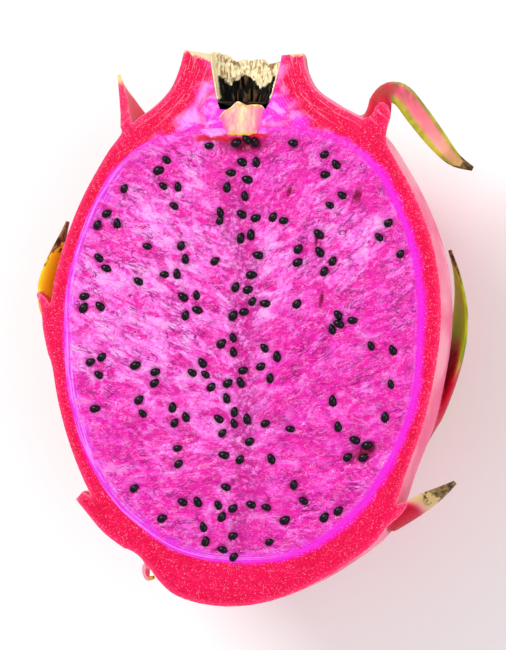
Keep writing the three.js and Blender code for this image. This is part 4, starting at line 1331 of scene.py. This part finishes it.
def flesh_material():
    """Pulp in layers: pale ridge tops as painted highlight and deep valleys as painted shade by the
    height of the ridges, broad deep patches, clumps, pale glints as painted highlight, dark creases
    as painted shade, the sunk middle line and seeds, hollows in painted shade, and last the violet
    and magenta bands of the rim."""
    made, g, shader = material("wet_pulp")
    place = g.place()
    xyz = g.add("ShaderNodeSeparateXYZ", {0: place})
    relief, edge, halo, cavity = (g.layer(n) for n in ("relief", "edge", "halo", "cavity"))
    specks = g.noise(place, 1100.0, 4.0, 0.65, 0.6)
    height = g.math("ADD", relief, g.fade(specks, 0.3, 0.7, 0.1, -0.1))
    x, y = xyz.outputs[0], xyz.outputs[1]
    creases = [use(g, CREASES, Vector=g.turned(place, turn, 2.6), Scale=520.0) for turn in FIBRE_TURNS]
    creases = by_zone(g, x, y, creases)
    creases = g.math("MULTIPLY", creases, g.fade(edge, 0.6, 2.2))
    crowded = g.fade(g.noise(place, 190.0, 2.0), 0.42, 0.56, 0.3, 1.0)
    creases = g.math("MULTIPLY", creases, crowded)
    # Painted light and shade: by the height of the relief, ridge tops are painted pale pink as painted
    # highlight and valleys deep magenta as painted shade.
    base = g.mix(g.fade(height, 0.0, 0.2), colour("#e00c94"), colour("#fb52d2"))
    base = g.mix(g.fade(height, 0.2, 0.5), base, colour("#ff86ea"))
    broad = g.noise(place, 55.0, 3.0, 0.6)
    where = g.math("ADD", g.fade(x, -0.02, 0.03, -0.1, 0.1), g.fade(y, -0.044, 0.0, 0.27, 0.0))
    where = g.math("ADD", where, g.fade(y, 0.02, 0.04, 0.0, 0.08))
    deep = g.fade(g.math("ADD", broad, where), 0.42, 0.64)
    deep = g.math("MULTIPLY", deep, g.fade(height, 0.1, 0.45, 0.95, 0.68))
    base = g.mix(deep, base, colour("#ee00b8"))
    clumps = [g.noise(g.turned(place, turn, 2.2), 330.0, 4.0, 0.62, 0.9) for turn in FIBRE_TURNS]
    clump = by_zone(g, x, y, clumps)
    clump = g.math("ADD", clump, g.fade(deep, 0.0, 0.6, 0.0, 0.05))
    base = g.mix(g.fade(clump, 0.52, 0.57, 0.0, 0.92), base, colour("#ea04a4"))
    plateau = g.math("MULTIPLY", g.fade(clump, 0.39, 0.46, 0.64, 0.0), g.fade(deep, 0.2, 0.7, 1.0, 0.5))
    base = g.mix(plateau, base, colour("#ffb2f2"))
    # Painted highlights: pale glints along the fibres and pale grains over the pulp.
    glints = g.turned(g.add("ShaderNodeVectorMath", {0: place, 1: (0.05, 0.02, 0.0)}).outputs[0], 8.0, 2.0)
    pale = use(g, CREASES, Vector=glints, Scale=760.0)
    glint_flecks = use(g, FLECKS, Vector=place, Scale=1600.0, Share=0.6)
    pale = g.math("MAXIMUM", g.math("MULTIPLY", pale, 0.4), g.math("MULTIPLY", glint_flecks, 0.6))
    base = g.mix(pale, base, colour("#ffb6f6"))
    # Painted shade: the creases of the pulp are painted as thin dark lines.
    base = g.mix(g.math("MULTIPLY", creases, 0.97), base, colour("#940070"))
    bend = g.about_zero(g.noise(place, 60.0, 2.0), 0.002)
    off_axis = g.math("ABSOLUTE", g.math("ADD", x, bend))
    middle = g.math("MULTIPLY", g.fade(off_axis, 0.0004, 0.0046, 0.8, 0.0), g.fade(y, 0.03, 0.042, 1.0, 0.5))
    base = g.mix(g.math("MULTIPLY", middle, g.fade(specks, 0.4, 0.58)), base, colour("#b4027c"))
    sunk = use(g, FLECKS, Vector=place, Scale=620.0, Share=0.46)
    sunk = g.math("MULTIPLY", sunk, g.fade(off_axis, 0.004, 0.03, 1.0, 0.35))
    base = g.mix(sunk, base, colour("#4a0440"))
    base = g.mix(g.math("MULTIPLY", halo, 0.6), base, colour("#a80c72"))
    # Painted shade: the small hollows of the pulp are painted dark red.
    base = g.mix(g.math("MULTIPLY", cavity, 0.85), base, colour("#98063a"))
    side = g.fade(xyz.outputs[0], -0.02, 0.035, 0.9, 0.35)
    stripes = g.noise(g.combine(g.math("MULTIPLY", edge, 1.3), g.math("MULTIPLY", y, 70.0)), 1.6, 3.0)
    violet = g.mix(g.fade(stripes, 0.45, 0.6), colour("#e62ae0"), colour("#f08cf8"))
    band = g.math("ADD", edge, g.about_zero(g.noise(place, 420.0, 3.0), 1.0))
    side = g.math("MULTIPLY", side, g.fade(y, 0.035, 0.043, 1.0, 0.25))
    base = g.mix(g.math("MULTIPLY", g.fade(band, 0.9, 2.6, 0.95, 0.0), side), base, violet)
    inward = g.math("SUBTRACT", edge, g.fade(x, -0.01, 0.03, 0.0, 0.8))
    magenta = g.math("MULTIPLY", g.fade(inward, 0.2, 0.9, 1.0, 0.0), g.fade(x, -0.015, 0.02, 0.3, 0.95))
    magenta = g.math("MULTIPLY", magenta, g.fade(y, 0.037, 0.043, 1.0, 0.4))
    base = g.mix(magenta, base, colour("#f010d8"))
    off_line = g.math("SUBTRACT", y, g.fade(g.noise(place, 260.0, 3.0), 0.3, 0.7, 0.0434, 0.0450))
    off_line = g.math("ABSOLUTE", off_line)
    off_middle = g.math("ABSOLUTE", g.math("ADD", x, 0.002))
    under_plug = g.math("MULTIPLY", g.fade(off_line, 0.0003, 0.001, 1.0, 0.0),
                        g.fade(off_middle, 0.007, 0.0095, 0.95, 0.0))
    base = g.mix(under_plug, base, colour("#e40a30"))
    g.put(shader.inputs["Base Color"], base)
    grain = use(g, GRAIN, Vector=place, Scale=1700.0)
    bumps = g.math("SUBTRACT", grain, g.math("MULTIPLY", creases, 0.4))
    g.put(shader.inputs["Normal"], g.bump(bumps, 0.7, 0.0005))
    set_inputs(shader, {
        "Subsurface Weight": 0.14,
        "Subsurface Radius": (1.0, 0.45, 0.8),
        "Subsurface Scale": 0.0006,
        "Roughness": 0.4,
        "Specular IOR Level": 0.15,
        "Coat Weight": 0.3,
        "Coat Roughness": 0.06,
    })
    return made


dress(flesh, flesh_material())

# %% [markdown]
# ## Shells of the seeds
# A seed is nearly black with a wet shine, which shows as one small bright spot.


# %% Seeds
def seed_material():
    """Nearly black shell under a clear coat."""
    made, g, shader = material("seed_shell")
    tone = g.noise(g.place(), 1200.0, 2.0)
    g.put(shader.inputs["Base Color"], g.mix(g.fade(tone, 0.4, 0.7), colour("#020008"), colour("#0e0614")))
    set_inputs(shader, {
        "Roughness": 0.5,
        "Specular IOR Level": 0.03,
        "Coat Weight": 0.42,
        "Coat Roughness": 0.03,
    })
    return made


dress(seed_piece, seed_material())

# %% [markdown]
# ## Dried flower material
# The paper is cream at the rim and nearly black deep in the crater. The border between both is
# ragged. Ridges in the dark part are painted lighter brown as painted highlight.


# %% Dried flower material
def paper_material():
    """Cream paper where the paper layer is 1 and near-black where it is 0, with ridges painted lighter brown
    as painted highlight.
    """
    made, g, shader = material("dry_paper")
    place = g.place()
    fibres = g.noise(g.stretch(place, (1.0, 0.2, 1.0)), 2200.0, 3.0)
    blotch = g.noise(place, 420.0, 3.0)
    cream = g.mix(g.fade(fibres, 0.36, 0.52), colour("#a8834e"), colour("#faeac0"))
    cream = g.mix(g.fade(blotch, 0.54, 0.64, 0.0, 0.8), cream, colour("#7c5a30"))
    # Painted highlight: the ridges of the dark inner wall are painted lighter brown.
    ridge_highlight = g.math("ADD", g.layer("ridge_highlight"), g.about_zero(fibres, 0.2))
    dark = g.mix(g.fade(ridge_highlight, 0.6, 1.3), colour("#050303"), colour("#5a4028"))
    base = g.mix(g.layer("paper"), dark, cream)
    base = g.mix(g.fade(g.layer("cut_edge"), 0.55, 0.9), base, colour("#f4dfb0"))
    g.put(shader.inputs["Base Color"], base)
    g.put(shader.inputs["Normal"], g.bump(fibres, 0.7, 0.0005))
    set_inputs(shader, {
        "Roughness": 0.7,
        "Specular IOR Level": 0.15,
    })
    return made


dress(flower, paper_material())

# %% [markdown]
# ## Tissue of the plug
# The plug is pink where it joins the rind at its sides, cream in the middle and dried at the top.


# %% Material of the plug
def plug_material():
    """Pink fibres, cream in the middle, with a dried upper edge and a golden lower one."""
    made, g, shader = material("plug_tissue")
    place = g.place()
    up, across = g.layer("up"), g.layer("across")
    fibres = g.noise(g.stretch(place, (1.0, 0.25, 1.0)), 1500.0, 3.0)
    base = g.mix(g.fade(fibres, 0.35, 0.65), colour("#ee869c"), colour("#f6b8a8"))
    centre = g.math("ADD", g.math("ABSOLUTE", across), g.about_zero(fibres, 0.2))
    base = g.mix(g.fade(centre, 0.0, 0.3, 0.8, 0.0), base, colour("#fbe0a4"))
    base = g.mix(g.fade(g.math("ABSOLUTE", across), 0.62, 0.92), base, colour("#f264a4"))
    top = g.math("ADD", up, g.about_zero(fibres, 0.05))
    base = g.mix(g.fade(top, 0.86, 0.93), base, colour("#e59a4a"))
    base = g.mix(g.fade(top, 0.93, 0.99), base, colour("#f4dfae"))
    base = g.mix(g.fade(up, 0.03, 0.14, 0.9, 0.0), base, colour("#f2b23e"))
    g.put(shader.inputs["Base Color"], base)
    g.put(shader.inputs["Normal"], g.bump(fibres, 0.4, 0.0004))
    set_inputs(shader, {
        "Roughness": 0.45,
    })
    return made


dress(plug, plug_material())

# %% [markdown]
# ## Join the pieces to the part
# Each finer piece stands for the node of the part that has the same form.

# %% Pieces and nodes
for piece, node, slot in (
    (rind, "rind", "rind"),
    (plug, "rind", "rind"),
    (flesh, "flesh", "flesh"),
    (seed_piece, "flesh", "flesh"),
    (flower, "dried_flower", "dried_flower"),
):
    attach(piece, "root")
    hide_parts(node)
    print(piece.name, "replaces", node, "in slot", slot)

# %% [markdown]
# ## Stage and light
# A pale floor catches the shadow. One soft light from the upper left shapes the fruit, a weaker one
# from the right opens the shadows, and a white sky lights the rest.

# %% Floor and light
FLOOR_HALF = 900.0
AIM = Vector((0, 0, 0.03))

floor_points = FLOOR_HALF * np.array([[-1, -1, 0], [1, -1, 0], [1, 1, 0], [-1, 1, 0]], float)
floor = mesh_object("floor", floor_points, [np.array([[0, 1, 2, 3]])])
floor_look, _, floor_shader = material("pale_floor")
floor_shader.inputs["Base Color"].default_value = (0.96, 0.96, 0.96, 1)
floor_shader.inputs["Roughness"].default_value = 0.9
floor.data.materials.append(floor_look)


def area_light(name, place, energy, size):
    """A square soft light that points at the fruit."""
    light = bpy.data.lights.new(name, "AREA")
    light.energy = energy
    light.size = size
    lamp = bpy.data.objects.new(name, light)
    lamp.location = place
    lamp.rotation_euler = (AIM - Vector(place)).to_track_quat("-Z", "Y").to_euler()
    bpy.context.scene.collection.objects.link(lamp)


area_light("key", (-0.45, 0.5, 0.75), 6.0, 0.45)
area_light("fill", (0.6, -0.1, 0.7), 2.8, 0.8)
world = bpy.data.worlds.new("studio")
world.use_nodes = True
world.node_tree.nodes["Background"].inputs["Color"].default_value = (1, 1, 1, 1)
world.node_tree.nodes["Background"].inputs["Strength"].default_value = 0.6
bpy.context.scene.world = world
bpy.context.scene.view_settings.view_transform = "Standard"

# %% [markdown]
# ## Camera
# The photograph looks straight down on the cut face, tipped 14 degrees to the right side of the
# fruit, from far away. A long lens 0.9 m away gives the same flat perspective. Its focal length is
# the distance times the sensor's width over the height that the picture spans, because the sensor's
# width goes with the longer side of the picture.

# %% Camera
TILT = math.radians(14)
DISTANCE = 0.9
PIXELS_PER_MM = 4.7
PICTURE_HEIGHT = 650
SENSOR_WIDTH = 36.0

target = Vector((2.63, 4.26, CUT_HEIGHT)) * MM
back = Vector((math.sin(TILT), 0, math.cos(TILT)))
up = Vector((0, 1, 0))
right = up.cross(back)
lens = bpy.data.cameras.new("photo_camera")
lens.sensor_width = SENSOR_WIDTH
lens.lens = PIXELS_PER_MM / MM * DISTANCE / PICTURE_HEIGHT * SENSOR_WIDTH
camera = bpy.data.objects.new("photo_camera", lens)
turned = Matrix((right, up, back)).transposed()
camera.matrix_world = Matrix.Translation(target + back * DISTANCE) @ turned.to_4x4()
bpy.context.scene.collection.objects.link(camera)
bpy.context.scene.camera = camera
print("focal length:", round(lens.lens, 1), "mm")
